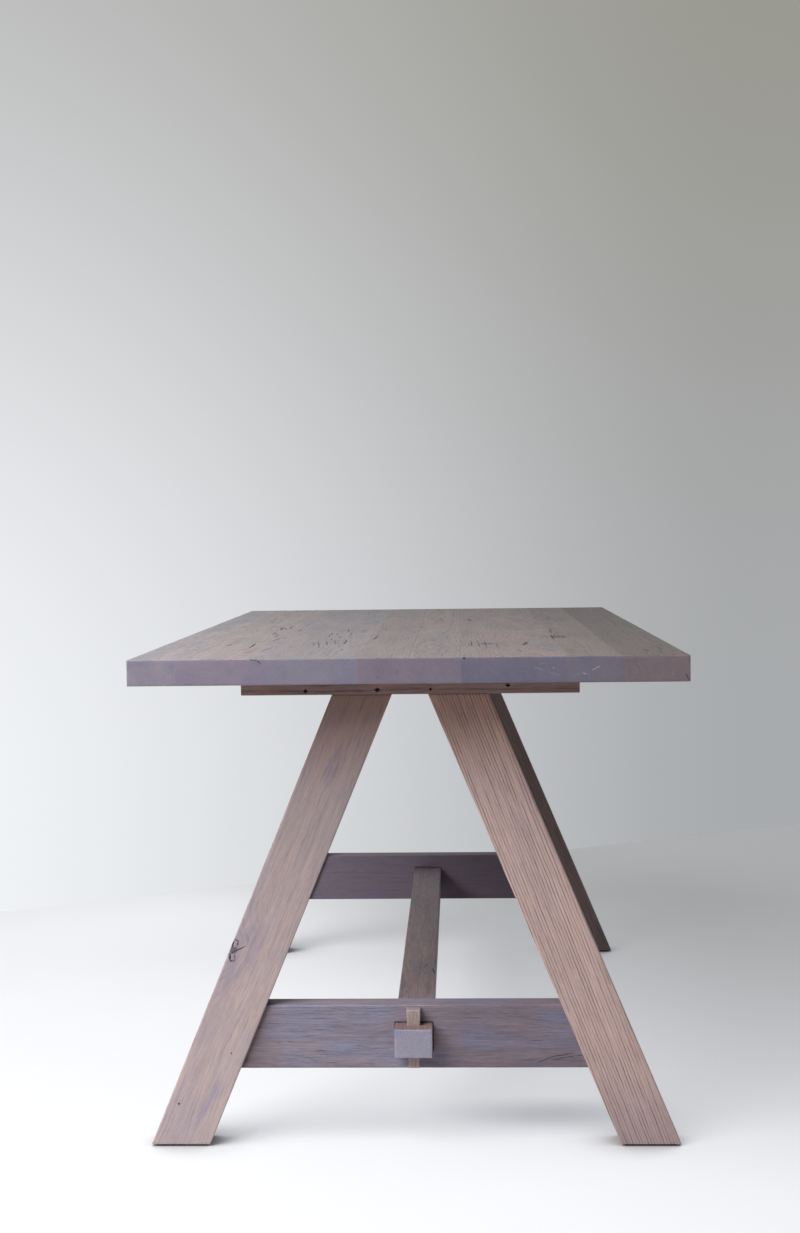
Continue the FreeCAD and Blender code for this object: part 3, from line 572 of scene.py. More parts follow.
def oak(name, origin, turn, pith, seed, pale, dark, warm, cloud, warm_share=0.5, cloud_share=0.4, grain=0.7,
        figure=0.6, ring=0.003, uneven=2.4, waver=0.006, end_tint=(0.8, 0.78, 0.86), end_grain=0.35,
        knots=(), patches=(), marks=(), scratches=(), fray=3.0, stains=()):
    """A solid oak material. origin (mm) and turn (degrees) set the piece's own frame, whose Z runs along the
    grain, and pith (mm) is in that frame. A knot is its centre on a face (mm), its axis, size and push (mm),
    and a patch is a dark cloud, given as a knot is. A mark or scratch is its start, end and half width (mm).
    All are in the table's frame. fray (mm) is how ragged the marks are. A stain is an axis, where it starts
    and is full along it (mm), and the colour that it multiplies the wood by. Most stains are painted light or
    shade: darker where shade falls on the piece, paler where more light reaches it."""
    material, tree, surface = new_material(name)
    at = put(tree, "TexCoord", out="Object")
    angles = tuple(math.radians(angle) for angle in turn)
    place = put(tree, "Mapping", at, tuple(MM * k for k in origin), angles, vector_type="TEXTURE")
    frame_turn = Matrix.Rotation(angles[2], 3, "Z") @ Matrix.Rotation(angles[1], 3, "Y")
    frame_turn = frame_turn @ Matrix.Rotation(angles[0], 3, "X")
    facing = measure(tree, "DOT_PRODUCT", put(tree, "TexCoord", out="Normal"), frame_turn @ Vector((0, 0, 1)))
    end = ramp(tree, calc(tree, "ABSOLUTE", facing), 0.72, 0.92)
    bend, core, halo = 0.0, 0.0, 0.0
    to_piece = frame_turn.inverted()
    for number, (centre, axis, size, push) in enumerate((*knots, *patches)):
        knot = place_group(
            tree, knot_group, Place=place, Centre=to_piece @ (Vector(centre) - Vector(origin)) * MM,
            Axis=to_piece @ Vector(axis).normalized(), Size=size * MM, Push=push * MM,
        )
        bend = calc(tree, "ADD", bend, knot["Bend"])
        if number < len(knots):
            core = calc(tree, "MAXIMUM", core, knot["Core"])
        halo = calc(tree, "MAXIMUM", halo, knot["Halo"])
    grown = place_group(
        tree, growth, Place=place, Pith=tuple(MM * k for k in pith), Ring=ring, Uneven=uneven, Waver=waver,
        Bend=bend, Seed=seed,
    )
    frayed = place_group(tree, fray_group, Place=at, Amount=fray * MM)["Place"]
    masks = []
    # The hollow attribute marks the rails' mortise walls for painted shade.
    hollows = put(tree, "Attribute", out="Fac", attribute_name="hollow")
    for lines, mask, ground in ((marks, hollows, frayed), (scratches, 0.0, at)):
        for start, stop, half_width in lines:
            line = place_group(
                tree, mark_group, Place=ground, Start=Vector(start) * MM, End=Vector(stop) * MM,
                Half_Width=half_width * MM,
            )
            mask = calc(tree, "MAXIMUM", mask, line["Mask"])
        masks.append(mask)
    look = place_group(
        tree, finish_group, Place=place, Seed=seed, Band=grown["Band"], Pore=grown["Pore"],
        Fleck=grown["Fleck"], Fibre=grown["Fibre"], Streak=grown["Streak"], Knot=core, Halo=halo, End=end,
        Edge=put(tree, "Attribute", out="Fac", attribute_name="edge"), Hollow=masks[0], Scratch=masks[1],
        Pale=(*pale, 1), Dark=(*dark, 1), Warm=(*warm, 1), Warm_Share=warm_share, Cloud=(*cloud, 1),
        Cloud_Share=cloud_share, Grain=grain, Figure=figure, End_Tint=(*end_tint, 1), End_Grain=end_grain,
    )
    colour = look["Color"]
    # Stains and painted shading: each multiplies the colour along one axis; most stand in for light and
    # shade.
    for axis, start, full, tint in stains:
        along = put(tree, "SeparateXYZ", at, out=axis)
        depth = put(tree, "MapRange", along, start * MM, full * MM, 0.0, 1.0)
        colour = mix_colour(tree, depth, colour, mix_colour(tree, 1.0, colour, (*tint, 1), "MULTIPLY"))
    coat(tree, surface, look["Height"], IOR=1.46, Base_Color=colour, Roughness=look["Roughness"])
    return material


def toned(look, level, tint=(1, 1, 1)):
    """The same oak with its four colours darker or paler by a level, and tinted."""
    colours = {
        name: tuple(level * channel * shift for channel, shift in zip(look[name], tint))
        for name in ("pale", "dark", "warm", "cloud")
    }
    return {**look, **colours}


splay = math.radians(22.57)
leg_top, leg_foot = 697, 3
leg_half_width = 84 / 2 / math.cos(splay)
leg_half_depth = 51 / 2
leg_gap = 55
leg_cell, leg_cell_up = 8, 9
arris_round = 1.5
trestle_middle = 608.5
mortise_low, mortise_high = 135.35, 203.65
mortise_half, mortise_reach = 6.65, 37.5

# Painted shade: this tint browns and darkens the legs' tops, where the table top's shade falls on them.
WARM_SHADE = (1.06, 0.86, 0.74)
LEFT_OAK = dict(
    pale=(0.44, 0.355, 0.36), dark=(0.21, 0.155, 0.17), warm=(0.50, 0.375, 0.34), cloud=(0.285, 0.25, 0.32),
    # Painted light and shade: the leg grows darker from 150 mm up and browner and darker again near the top,
    # in the table top's shade, and paler and bluer towards the foot, where more light falls.
    stains=[
        (Z, 540, 690, WARM_SHADE), (Z, 150, 480, (0.84, 0.85, 0.87)), (Z, 640, 700, (0.86, 0.82, 0.78)),
        (Z, 200, 60, (1.05, 1.07, 1.10)),
    ],
)
RIGHT_OAK = dict(
    pale=(0.53, 0.385, 0.367), dark=(0.215, 0.153, 0.153), warm=(0.58, 0.41, 0.355),
    cloud=(0.36, 0.285, 0.32),
    # Painted shade: browner towards the top, in the table top's shade, and darker and bluer towards the foot,
    # away from the window.
    stains=[(Z, 560, 700, WARM_SHADE), (Z, 110, 20, (0.84, 0.86, 0.93))],
)


def upright_marks(face, *lines):
    """Marks on an upright face at one place along the table, each from two places across and up and its half
    width."""
    return [((x0, face, z0), (x1, face, z1), half_width) for x0, z0, x1, z1, half_width in lines]


def upright_clouds(face, *spots):
    """Dark clouds on an upright face, each from its place across and up, its size and its push on the
    rings."""
    return [((x, face, z), (0, 1, 0), size, push) for x, z, size, push in spots]


def inner_edge(height):
    """How far the legs' inner edges are from the table's middle, at a height."""
    return leg_gap / 2 + (leg_top - height) * math.tan(splay)


def add_leg(end, side, grain_lean=0, **look):
    """A leg: an upright block, cut by grid planes, then leaned outwards in proportion to its depth below the
    top. Its grain runs along it, or leans inwards from that by grain_lean degrees."""
    way = -1 if side == "left" else 1
    trestle = -trestle_middle if end == "near" else trestle_middle
    low = (-leg_half_width, -leg_half_depth, leg_foot)
    high = (leg_half_width, leg_half_depth, leg_top)
    inner = -way * leg_half_width
    pocket = sorted((inner, inner + way * mortise_reach))
    eased_x, eased_y, eased_z = (arris_lines(low[axis], high[axis], arris_round) for axis in (X, Y, Z))
    xs = grid_lines(low[X], high[X], leg_cell, eased_x + pocket)
    ys = grid_lines(low[Y], high[Y], leg_cell, eased_y + [-mortise_half, mortise_half])
    zs = grid_lines(low[Z], high[Z], leg_cell_up, eased_z + [mortise_low, mortise_high])
    mortise = ((pocket[0], -mortise_half, mortise_low), (pocket[1], mortise_half, mortise_high))
    grid, faces = block_skin(xs, ys, zs, [mortise])
    points = grid.copy()
    ease_all(points, low, high, arris_round)
    points[:, X] += way * (leg_half_width + inner_edge(points[:, Z]))
    points[:, Y] += trestle
    half_height = (leg_top + leg_foot) / 2
    origin = (way * (leg_half_width + inner_edge(half_height)), trestle, half_height)
    finish = oak(f"oak_{end}_{side}_leg", origin, (0, way * (grain_lean - math.degrees(splay)), 0), **look)
    name = f"{end}_{side}_leg"
    add_piece(f"{name}_oak", points, faces, name, "table", "oak_base", finish, edge=wear_of(grid, low, high))


front = -trestle_middle - leg_half_depth
add_leg(
    "near", "left", pith=(95, 130, 0), seed=3.1, waver=0.009, grain=0.3, figure=0.45, ring=0.0034,
    warm_share=0.6, cloud_share=0.3, fray=2.0, knots=[((-275, front, 306), (-0.6, -0.8, 0.1), 6, 8)],
    patches=upright_clouds(
        front, (-266, 292, 13, 14), (-240, 322, 7, 8), (-118, 588, 7, 5), (-317, 71, 8, 0),
    ),
    marks=upright_marks(
        front, (-284, 298.5, -256, 312, 0.85), (-277, 311, -274, 320, 1.6), (-273, 322, -267, 321, 0.9),
        (-267, 320, -269, 313, 0.8), (-280, 299, -281, 291, 1.7), (-281, 291, -277, 288, 1.2),
        (-277, 287.5, -272.5, 292, 0.9), (-272.5, 293, -273, 299, 0.8), (-281, 147, -281, 145, 1.1),
        (-364, 68, -363, 66, 1.9), (-93, 540, -97, 528, 0.6),
    ),
    **LEFT_OAK,
)
add_leg(
    "near", "right", pith=(190, 75, 0), seed=7.7, waver=0.003, grain=1.35, figure=0.55, ring=0.0040,
    uneven=0.6, warm_share=0.3, cloud_share=0.18, grain_lean=2, **RIGHT_OAK,
)
add_leg("far", "left", pith=(-120, 80, 0), seed=12.4, **LEFT_OAK)
# Painted shade: the far right leg is the near right leg's oak at half its brightness, for the shade under the
# table.
add_leg("far", "right", pith=(130, -70, 0), seed=17.9, **toned(RIGHT_OAK, 0.49))

# ------------------------------------------------------------------------------------------------------------
# The cross rails: one flat oak rail between the legs of each trestle, tenoned into both, with a mortise
# through its middle for the beam. Its shoulders are cut to the legs' splay.

rail_low, rail_high = 120.5, 218.5
rail_half_depth = 19
rail_cell = 7
rail_tenon_low, rail_tenon_high, rail_tenon_half, rail_tenon_length = 135.5, 203.5, 6.5, 36
hole_half, hole_low, hole_high, hole_round = 29.6, 146.5, 192.2, 2.1
mortise_shade_level = 0.7
lean_start = 45


def add_rail(end, **look):
    """A cross rail: a square block with four notches at each end that leave the tenon, and a hole through its
    middle. From the hole outwards the grid leans more and more, until the shoulders stand along the legs."""
    trestle = -trestle_middle if end == "near" else trestle_middle
    shoulder = inner_edge((rail_low + rail_high) / 2)
    far_end = shoulder + rail_tenon_length
    low, high = (-far_end, -rail_half_depth, rail_low), (far_end, rail_half_depth, rail_high)
    hole_xs = [side * (hole_half + step) for side in (-1, 1) for step in (3, 1.1, 0, -0.6, -hole_round)]
    hole_zs = [hole_low + step for step in (-1.1, 0, 0.9, hole_round)]
    hole_zs += [hole_high + step for step in (3, 1.1, 0, -0.9, -hole_round)]
    xs = grid_lines(low[X], high[X], rail_cell, [-shoulder, shoulder, *hole_xs])
    eased_y, eased_z = (arris_lines(low[axis], high[axis], arris_round) for axis in (Y, Z))
    ys = grid_lines(low[Y], high[Y], rail_cell, eased_y + [-rail_tenon_half, rail_tenon_half])
    zs = grid_lines(low[Z], high[Z], rail_cell, [*eased_z, rail_tenon_low, rail_tenon_high, *hole_zs])
    empty = [((-hole_half, low[Y], hole_low), (hole_half, high[Y], hole_high))]
    for side in (-1, 1):
        start, stop = sorted((side * shoulder, side * far_end))
        empty += [
            ((start, low[Y], rail_low), (stop, high[Y], rail_tenon_low)),
            ((start, low[Y], rail_tenon_high), (stop, high[Y], rail_high)),
            ((start, low[Y], rail_low), (stop, -rail_tenon_half, rail_high)),
            ((start, rail_tenon_half, rail_low), (stop, high[Y], rail_high)),
        ]
    grid, faces = block_skin(xs, ys, zs, empty)
    points = grid.copy()
    ease(points, (Y, Z), low, high, arris_round)
    ease(points, (X, Z), (-hole_half, 0, hole_low), (hole_half, 0, hole_high), hole_round)
    above_or_below = np.maximum(hole_low - grid[:, Z], grid[:, Z] - hole_high)
    from_hole = np.maximum(np.abs(grid[:, X]) - hole_half, above_or_below)
    # Painted shade: the mortise's walls and rim are marked to be painted almost black, as the shade in the
    # gap round the beam.
    hollow = np.where(from_hole < 0.01, mortise_shade_level, 0.0)
    lean = (inner_edge(points[:, Z]) - shoulder) * np.sign(points[:, X])
    points[:, X] += lean * np.clip((np.abs(grid[:, X]) - lean_start) / (shoulder - lean_start), 0, 1)
    points[:, Y] += trestle
    finish = oak(f"oak_{end}_rail", (0, trestle, (rail_low + rail_high) / 2), (0, 90, 0), **look)
    add_piece(f"{end}_rail_oak", points, faces, f"{end}_rail", "table", "oak_base", finish,
              edge=wear_of(grid, low, high, kept=(X,)), hollow=hollow)


front = -trestle_middle - rail_half_depth
add_rail(
    "near", pith=(30, 130, 0), seed=22.3, pale=(0.235, 0.195, 0.235), dark=(0.11, 0.08, 0.10),
    warm=(0.285, 0.22, 0.235), cloud=(0.215, 0.225, 0.335), cloud_share=0.6, grain=0.35, figure=0.75,
    # Painted shadow: the rail is darker right of the beam, in the shade there, and darkest beside the left
    # leg as its contact shadow.
    waver=0.010, fray=1.2, stains=[(X, 10, 80, (0.79, 0.77, 0.80)), (X, -202, -240, (0.74, 0.70, 0.71))],
    patches=upright_clouds(
        front, (231, 194, 11, 3), (-170, 180, 14, 3), (-95, 150, 12, 3), (-60, 205, 8, 3), (110, 165, 9, 3),
    ),
    marks=upright_marks(
        front, (186, 127, 212, 137.7, 0.6), (210, 137.5, 243, 143, 0.6), (206, 131.5, 250, 140, 0.5),
        (248, 139.8, 259, 139.4, 0.5), (-234, 189, -204, 190, 0.3), (-174, 169.7, -149, 171, 0.32),
        (-196, 161.5, -186, 162, 0.4), (-151, 147, -136, 148.2, 0.4), (-91, 155.3, -77.6, 155.6, 0.3),
        (-72, 150.8, -38, 151, 0.25), (-135, 128, -118, 129.2, 0.3), (-130, 191.7, -109, 192.4, 0.3),
        (122, 175.6, 139, 176.8, 0.25), (178, 162, 199, 163.8, 0.3), (55, 139, 84, 139.6, 0.2),
    ),
)
# Painted shade: the far rail has darker colours than the near one, for the shade under the table, and is
# darker still right of the beam, as its shadow.
add_rail(
    "far", pith=(-40, 90, 0), seed=27.1, pale=(0.158, 0.127, 0.175), dark=(0.085, 0.065, 0.085),
    warm=(0.175, 0.13, 0.155), cloud=(0.125, 0.11, 0.17), grain=0.25, figure=0.3,
    stains=[(X, -20, 110, (0.8, 0.75, 0.74))],
)

# ------------------------------------------------------------------------------------------------------------
# The foot pads: thin dark felt, cut to the size of each foot and glued under it, so that the table slides and
# doesn't scratch.

felt, tree, surface = new_material("felt")
place = put(tree, "TexCoord", out="Object")
fuzz = put(tree, "TexNoise", place, None, 1400.0, 4.0)
clump = put(tree, "TexNoise", place, None, 180.0, 2.0)
dark_felt, pale_felt = grey(0.02, (1, 0.6, 0.62)), grey(0.055, (1, 0.62, 0.66))
colour = mix_colour(tree, ramp(tree, fuzz, 0.3, 0.7), dark_felt, pale_felt)
colour = mix_colour(tree, ramp(tree, clump, 0.35, 0.7, 0.0, 0.35), colour, grey(0.09, (1, 0.7, 0.72)))
coat(
    tree, surface, fuzz, bump_strength=0.8, bump_depth=0.0006, Specular_IOR_Level=0.2, Base_Color=colour,
    Roughness=ramp(tree, clump, 0.3, 0.7, 0.88, 1.0),
)


def dress(node, material):
    """Gives every material slot of a CAD node one material."""
    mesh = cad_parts[node].data
    if not mesh.materials:
        mesh.materials.append(material)
    for slot in range(len(mesh.materials)):
        mesh.materials[slot] = material


for end in ("near", "far"):
    for side in ("left", "right"):
        dress(f"{end}_{side}_foot_pad", felt)

# ------------------------------------------------------------------------------------------------------------
# The beam: one long square oak bar through the middle of both rails, with a mortise down through each end for
# a key. The mortise's outer wall slopes as the key does.

beam_half, beam_low, beam_high, beam_end = 29, 146.5, 191, 664.5
beam_cell, beam_cell_along = 6, 10
slot_half, slot_inner, slot_outer_low, slot_outer_high = 10.115, 624.5, 641.38, 644.32

low, high = (-beam_half, -beam_end, beam_low), (beam_half, beam_end, beam_high)
eased_x, eased_y, eased_z = (arris_lines(low[axis], high[axis], arris_round) for axis in (X, Y, Z))
slot_ends = [side * place for side in (-1, 1) for place in (slot_inner, slot_outer_low)]
xs = grid_lines(low[X], high[X], beam_cell, eased_x + [-slot_half, slot_half])
ys = grid_lines(low[Y], high[Y], beam_cell_along, eased_y + slot_ends)
zs = grid_lines(low[Z], high[Z], beam_cell, eased_z)
grid, faces = block_skin(xs, ys, zs, [
    ((-slot_half, start, beam_low), (slot_half, stop, beam_high))
    for start, stop in ((-slot_outer_low, -slot_inner), (slot_inner, slot_outer_low))
])
points = grid.copy()
ease_all(points, low, high, arris_round)
sloping = np.interp(np.abs(grid[:, Y]), [slot_inner, slot_outer_low, beam_end], [0, 1, 0])
climb = (points[:, Z] - beam_low) / (beam_high - beam_low)
points[:, Y] += np.sign(grid[:, Y]) * sloping * climb * (slot_outer_high - slot_outer_low)
# Painted light: the beam's end tint makes its end faces pale and blue, as if lit by cold sky light.
finish = oak(
    "oak_beam", (0, 0, (beam_low + beam_high) / 2), (-90, 0, 0), pith=(190, -45, 0), seed=33.3,
    cloud_share=0.6, pale=(0.26, 0.20, 0.20), dark=(0.13, 0.09, 0.09), warm=(0.31, 0.225, 0.21),
    cloud=(0.20, 0.18, 0.21), grain=0.4, figure=0.9, ring=0.0026, end_tint=(1.41, 2.16, 2.85), end_grain=0.7,
    # The beam is darker and browner where it stands out of the near rail. As painted light and shade it is
    # paler towards its near end, where more light reaches under the top, darker in the middle under the
    # table, and less blue on the far end face, against the end tint.
    stains=[
        (Y, -612, -626, (0.61, 0.51, 0.48)), (Y, -150, -450, (1.36, 1.32, 1.36)),
        (Y, -200, 300, (0.79, 0.78, 0.85)), (Y, 655, 663, (1.0, 0.74, 0.58)),
    ],
    marks=[
        ((28, -330, beam_high), (24, -300, beam_high), 1.6),
        ((8, -300, beam_high), (16, -262, beam_high), 0.7),
    ],
)
add_piece("beam_oak", points, faces, "beam", "table", "oak_base", finish, edge=wear_of(grid, low, high))

# ------------------------------------------------------------------------------------------------------------
# The keys: a tapered oak tusk through each end of the beam, driven down against the rail so that it draws the
# trestle tight on the beam. Knocking it up lets the table come apart, so each key rides on its own body.

key_low, key_high, key_rail_face = 124, 215, 627.7
key_foot_half, key_head_half = 8, 10.6
key_foot_depth, key_head_depth = 12, 18
key_half = (key_foot_half + key_head_half) / 2
key_depth = (key_foot_depth + key_head_depth) / 2
key_round, key_wear = 0.8, 3
key_grain_in, key_grain_up = 8, 170


def add_key(end, **look):
    """A key: a block as wide and deep as the key is at half its height, then scaled at each height to the
    taper's width and depth there, which grow in a straight line from foot to head."""
    way = -1 if end == "near" else 1
    low = (-key_half, min(0, way * key_depth), key_low)
    high = (key_half, max(0, way * key_depth), key_high)
    grid, faces = block_skin(*(
        grid_lines(low[axis], high[axis], cell, arris_lines(low[axis], high[axis], key_round, flat_start))
        for axis, cell, flat_start in (
            (X, 0.4 * key_half, 0.3 * key_half), (Y, 0.25 * key_depth, 0.2 * key_depth), (Z, 5, key_wear),
        )
    ))
    points = grid.copy()
    ease_all(points, low, high, key_round)
    heights = (key_low, key_high)
    points[:, X] *= np.interp(grid[:, Z], heights, (key_foot_half, key_head_half)) / key_half
    points[:, Y] *= np.interp(grid[:, Z], heights, (key_foot_depth, key_head_depth)) / key_depth
    points[:, Y] += way * key_rail_face
    origin = (0, way * (key_rail_face + key_grain_in), key_grain_up)
    finish = oak(f"oak_{end}_key", origin, (0, 0, 0), **look)
    add_piece(f"{end}_key_oak", points, faces, f"{end}_key", f"{end}_key_body", "oak_key", finish,
              edge=wear_of(grid, low, high, key_wear))


KEY_OAK = dict(
    pale=(0.40, 0.31, 0.29), dark=(0.24, 0.17, 0.15), warm=(0.44, 0.32, 0.27), cloud=(0.28, 0.26, 0.29),
    # Painted light: the keys are paler below the beam, as if more light reached them there.
    stains=[(Z, 158, 140, (1.25, 1.21, 1.26))],
)
add_key("near", pith=(40, 50, 0), seed=41.0, **KEY_OAK)
add_key("far", pith=(-45, 40, 0), seed=44.0, **KEY_OAK)

# ------------------------------------------------------------------------------------------------------------
# The battens: an oak cross piece flat under the top on each trestle, cut from old timber that has nail holes.
# It is recessed and slotted from below for the bolts that hold the top.

batten_half_length, batten_half_depth, batten_low, batten_middle = 257, 25.5, 697, 710
nail_face = -trestle_middle - batten_half_depth
nail_holes = upright_marks(nail_face, *(
    (x - batten_half_length - size, batten_low + up, x - batten_half_length + size, batten_low + up, size)
    for x, up, size in ((98.5, 6, 3.0), (207.7, 7.3, 3.2), (288.5, 7.5, 1.1), (405.6, 12.5, 2.7))
))
for end, y, seed, holes in (("near", -trestle_middle, 51.0, nail_holes), ("far", trestle_middle, 55.0, ())):
    dress(f"{end}_batten", oak(
        f"oak_{end}_batten", (0, y, batten_middle), (0, 90, 0), pith=(45, 60, 0), seed=seed,
        pale=(0.345, 0.22, 0.205), dark=(0.16, 0.095, 0.085), warm=(0.375, 0.235, 0.195),
        cloud=(0.25, 0.17, 0.17), grain=0.8, figure=0.8, fray=0.8, marks=holes,
    ))

# ------------------------------------------------------------------------------------------------------------
# The top: eight solid oak boards of random width, edge-glued over loose tenons, planed flush and eased all
# round. Each board has its own knots, drying splits and clouds of stain, and its own tint on the end grain.
# Its tone falls from left to right, partly its own and partly painted shade where the window's light falls
# off.

top_low, top_high, top_half_length = 724, 762, 762
board_widths = (71, 131, 133, 75, 75, 152, 79, 97)
board_edges = np.cumsum((-sum(board_widths) / 2, *board_widths))
board_cell, board_cell_up = 12, 8
outer_round, joint_round = 1.0, 0.1
joint_wear = 0.7

TOP_OAK = dict(
    pale=(0.335, 0.28, 0.27), dark=(0.18, 0.14, 0.135), warm=(0.365, 0.285, 0.25), cloud=(0.235, 0.225, 0.25),
    grain=0.3, figure=0.55, fray=6.0,
)


def add_board(number, tone_and_shade, tint=(1, 1, 1), **look):
    """A board of the top, as a block. Its arrises at the glued joints are only just broken, the outer ones
    eased. Its oak is the top's, made darker or paler and tinted; the darkening is partly the board's own tone
    and partly painted shade."""
    first, last = number == 1, number == len(board_widths)
    left, right = board_edges[number - 1], board_edges[number]
    middle = (left + right) / 2
    low, high = (left, -top_half_length, top_low), (right, top_half_length, top_high)
    left_round, right_round = (outer_round if outer else joint_round for outer in (first, last))
    xs = grid_lines(left, right, board_cell, arris_lines(left, right, (left_round, right_round)))
    ys = grid_lines(low[Y], high[Y], board_cell, arris_lines(low[Y], high[Y], outer_round))
    eased_z = arris_lines(top_low, top_high, outer_round) + [top_low + joint_round, top_high - joint_round]
    zs = grid_lines(top_low, top_high, board_cell_up, eased_z)
    grid, faces = block_skin(xs, ys, zs)
    points = grid.copy()
    on_left = grid[:, X] < middle
    side_round = np.where(on_left, left_round, right_round)
    ease(points, (X, Z), low, high, side_round)
    ease(points, (Y, Z), low, high, outer_round)
    if first or last:
        ease(points, (X, Y), low, high, np.where(side_round == outer_round, outer_round, 1e-6))
    outer_half = on_left & first | (grid[:, X] > middle) & last
    worn = np.where(outer_half, wear_of(grid, low, high), joint_wear * wear_of(grid, low, high, kept=(X,)))
    origin = (middle, 0, (top_low + top_high) / 2)
    finish = oak(f"oak_top_board_{number}", origin, (-90, 0, 0), **toned(TOP_OAK, tone_and_shade, tint), **look)
    add_piece(f"top_board_{number}_oak", points, faces, f"top_board_{number}", "table", "oak_top", finish,
              edge=worn)


def top_marks(*lines):
    """Marks on the top face, each from two places across and along the table and its half width."""
    return [((x0, y0, top_high), (x1, y1, top_high), half_width) for x0, y0, x1, y1, half_width in lines]


front, up = -top_half_length, (0, 0, 1)
add_board(
    1, 0.84, (0.88, 0.93, 1.02), pith=(20, 75, 0), seed=63.7, end_tint=(0.84, 0.84, 1.01), cloud_share=0.6,
    patches=[*upright_clouds(front, (-340, 751, 5, 0)), ((-372, 330, top_high), up, 12, 10)],
    marks=top_marks(
        (-374, 318, -371, 342, 0.9), (-369, 322, -367, 371, 0.7), (-352, 540, -350, 607, 0.6),
        (-386, -210, -384, -262, 0.7),
    ),
)
add_board(
    2, 0.76, (0.96, 0.97, 1.01), pith=(-30, 90, 0), seed=67.4, end_tint=(0.82, 0.81, 1.06),
    patches=upright_clouds(front, (-218, 759, 5, 0)), stains=[(X, -262, -206, (0.93, 0.95, 0.985))],
    marks=top_marks(
        (-265, -580, -255, -530, 1.3), (-256, -524, -259, -412, 2.3), (-262, -390, -249, -345, 1.15),
        (-252, -645, -239, -580, 1.22), (-231, -616, -220, -522, 1.22), (-238, -455, -223, -378, 1.15),
        (-245, -390, -234, -350, 1.08), (-237, -355, -232, -256, 1.58), (-226, -302, -221, -258, 1.22),
        (-247, -245, -248, -152, 1.58), (-257, -172, -258, -104, 2.16), (-263, -64, -261, -26, 1.3),
        (-257, -34, -262, 58, 2.16), (-258, 40, -244, -36, 1.3), (-244, -4, -245, 88, 1.87),
        (-220, -72, -219, -34, 2.16), (-307, -440, -296, -468, 1.08), (-296, -470, -298, -416, 1.08),
    ) + upright_marks(front, (-226, 761, -217, 760, 1.1), (-219, 760, -211, 755, 0.75)),
)
add_board(
    3, 0.61, (1, 1.06, 1.15), pith=(45, 70, 0), seed=71.1, end_tint=(0.86, 0.905, 1.13), cloud_share=0.5,
    marks=top_marks(
        (-113, -340, -111, -447, 1.58), (-130, -254, -129, -290, 1.44), (-115, -520, -115, -490, 1.3),
        (-108, -565, -103, -600, 1.15), (-154, -170, -150, -260, 1.14), (-152, -140, -149, -202, 1.14),
        (-143, -142, -140, -204, 1.14), (-142, -298, -140, -330, 1.14), (-160, -364, -144, -537, 0.88),
        (-130, -19, -126, -115, 1.14), (-118, -147, -115, -210, 1.14), (-167, -388, -156, -489, 0.88),
        (-134, -341, -124, -469, 0.97), (-146, -366, -135, -492, 0.97),
    ),
)
add_board(
    4, 0.61, (0.93, 0.94, 0.98), pith=(60, -60, 0), seed=74.8, end_tint=(0.89, 0.85, 1.11),
    knots=[((-66, -285, top_high), up, 3, 4), ((-50, 420, top_high), up, 5, 9)],
    marks=top_marks(
        (-52, 408, -48, 434, 1.1), (-40, 560, -37, 640, 0.7), (-68, -340, -66, -225, 1.87),
        (-60, -30, -57, -84, 1.23),
    ) + upright_marks(
        front, (-43, 762, -41, 761, 0.9), (-42.5, 734.5, -41.5, 733.5, 1.3), (-14.5, 742, -13.5, 742, 1.1),
        (-7, 740, -6, 740, 0.8),
    ),
)
add_board(
    5, 0.62, (0.95, 0.94, 0.97), pith=(-10, 85, 0), seed=78.5, end_tint=(0.81, 0.83, 1.12), cloud_share=0.55,
    marks=top_marks(
        (30, -494, 60, -496, 1.58), (69, -166, 78, -166, 2.16), (69, -266, 78, -267, 2.16),
        (69, -498, 78, -500, 1.58), (8, 155, 66, 138, 2.16), (5, -14, 7, 24, 1.58), (31, 470, 34, 552, 0.8),
        (40, 500, 42, 540, 0.6),
    ),
)
add_board(
    6, 0.61, (0.94, 0.92, 0.95), pith=(35, 100, 0), seed=82.2, end_tint=(0.67, 0.76, 1.09), waver=0.012,
    cloud_share=0.55, knots=[((181, -480, top_high), up, 4, 9), ((120, -470, top_high), up, 14, 26)],
    marks=top_marks(
        (94, 300, 99, 214, 2.59), (95, -377, 96, -548, 1.06), (105, -379, 108, -573, 1.06),
        (90, -452, 93, -525, 0.88), (117, -381, 118, -575, 1.06), (136, -459, 135, -577, 0.88),
        (176, -518, 182, -480, 3.0), (181, -490, 185, -440, 2.5), (173, -500, 188, -485, 1.8),
        (174, -105, 193, -80, 2.45), (200, -108, 214, -84, 2.45),
    ) + upright_marks(front, (81, 762, 83, 760, 2.6)),
    scratches=upright_marks(
        front, (182, 747, 200, 741, 0.15), (203, 740, 219, 735, 0.16), (190, 751, 198, 752, 0.16),
        (208, 747, 213, 744, 0.18),
    ),
)
add_board(
    7, 0.48, pith=(-25, -80, 0), seed=85.9, end_tint=(0.86, 0.93, 1.29), cloud_share=0.6,
    knots=[((246, -305, top_high), up, 7, 12)],
    marks=top_marks(
        (234, -262, 233, -374, 2.7), (251, -292, 253, -338, 2.8), (240, -236, 239, -347, 1.14),
        (246, -238, 244, -348, 1.14), (273, -242, 274, -260, 1.15), (241, -84, 236, -236, 1.06),
        (254, -570, 257, -580, 1.3), (262, 240, 259, 330, 0.8), (268, 262, 266, 300, 0.7),
        (240, 600, 243, 655, 0.7),
    ),
    scratches=upright_marks(
        front, (251, 738, 262, 735, 0.34), (266, 741.5, 277, 747.5, 0.6), (238, 733, 249, 737, 0.16),
    ),
)
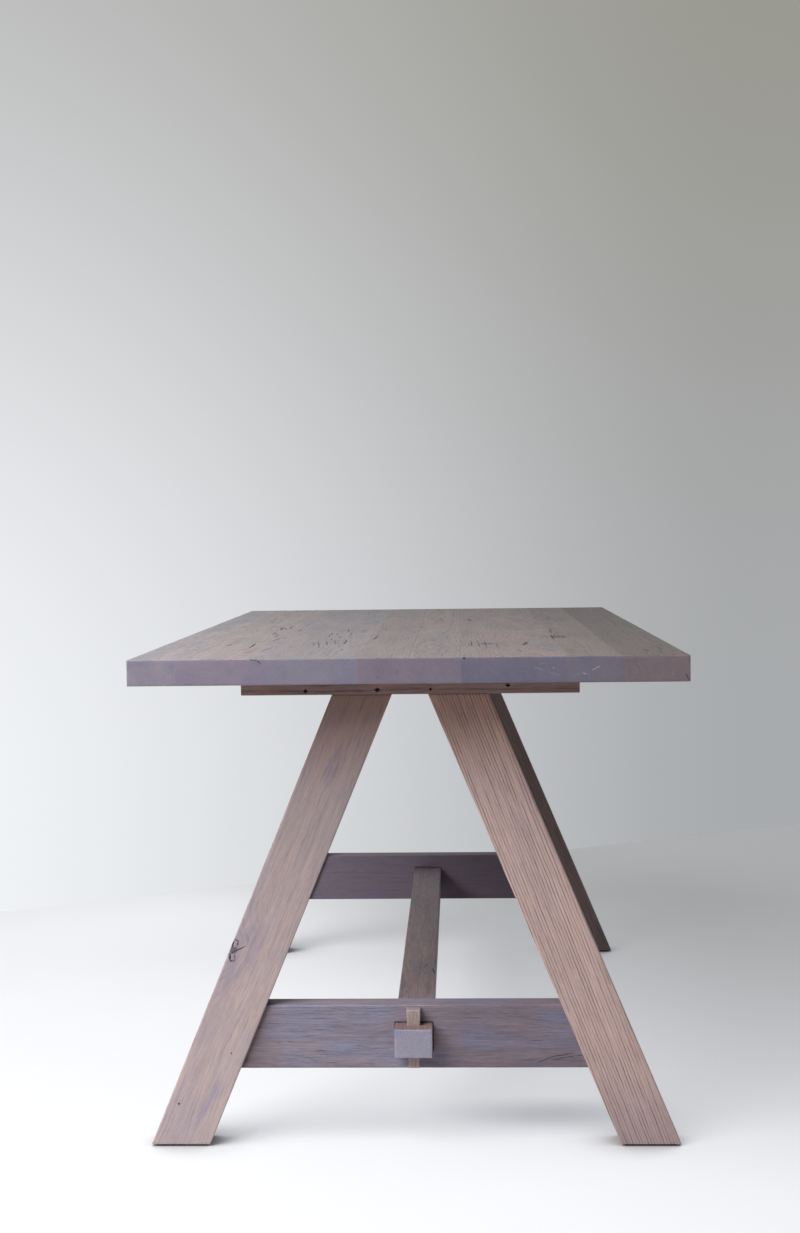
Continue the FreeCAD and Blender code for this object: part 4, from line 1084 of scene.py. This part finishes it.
add_board(
    8, 0.36, pith=(30, 65, 0), seed=89.6, end_tint=(1.41, 1.28, 1.45),
    knots=[((355, -655, top_high), up, 6, 12), ((385, -560, top_high), up, 8, 18)],
    patches=upright_clouds(front, (326, 743, 14, 0)),
    marks=top_marks(
        (352, -632, 356, -682, 1.9), (379, -567, 380, -656, 1.23), (374, -655, 371, -717, 1.06),
        (336, -132, 336, -152, 1.3), (365, 180, 362, 262, 0.9), (372, 196, 371, 240, 0.6),
        (330, 486, 333, 560, 0.7),
    ) + upright_marks(front, (399.5, 737, 404.5, 725.5, 0.9)),
)

# ------------------------------------------------------------------------------------------------------------
# The loose tenons: six beech tongues in each joint of the top, with rounded edges, glued into pockets in both
# boards and out of sight.

beech = oak(
    "beech", (0, 0, (top_low + top_high) / 2), (0, 90, 0), pith=(40, 80, 0), seed=90.0,
    pale=(0.60, 0.42, 0.27), dark=(0.46, 0.29, 0.17), warm=(0.64, 0.43, 0.26), cloud=(0.55, 0.38, 0.24),
    cloud_share=0.3, grain=0.4, ring=0.0022, end_tint=(0.85, 0.8, 0.75),
)
for joint in range(1, len(board_widths)):
    dress(f"top_joint_{joint}_tenons", beech)


# ------------------------------------------------------------------------------------------------------------
# The fixings: zinc-plated screws from the battens into the legs, zinc-plated bolts and washers that hold the
# top, and brass threaded inserts in the top.


def metal(name, bright, dull, clean_roughness):
    """A metal whose plating is mottled with fine crystals and dulled in patches."""
    material, tree, surface = new_material(name)
    place = put(tree, "TexCoord", out="Object")
    crystal = put(tree, "TexVoronoi", place, None, 900.0, out="Color")
    patch = put(tree, "TexNoise", place, None, 240.0, 3.0)
    dulled = ramp(tree, patch, 0.4, 0.7, 0.0, 0.6)
    share = calc(tree, "MULTIPLY_ADD", put(tree, "SeparateColor", crystal), 0.35, dulled)
    coat(
        tree, surface, Metallic=1.0, Base_Color=mix_colour(tree, share, (*bright, 1), (*dull, 1)),
        Roughness=calc(tree, "MULTIPLY_ADD", share, 0.2, clean_roughness),
    )
    return material


zinc = metal("zinc_steel", (0.66, 0.67, 0.69), (0.42, 0.42, 0.43), 0.28)
brass = metal("brass", (0.80, 0.58, 0.28), (0.52, 0.36, 0.17), 0.26)
for end in ("near", "far"):
    for fixing in ("leg_screws", "top_bolts", "top_washers"):
        dress(f"{end}_{fixing}", zinc)
    dress(f"{end}_top_inserts", brass)
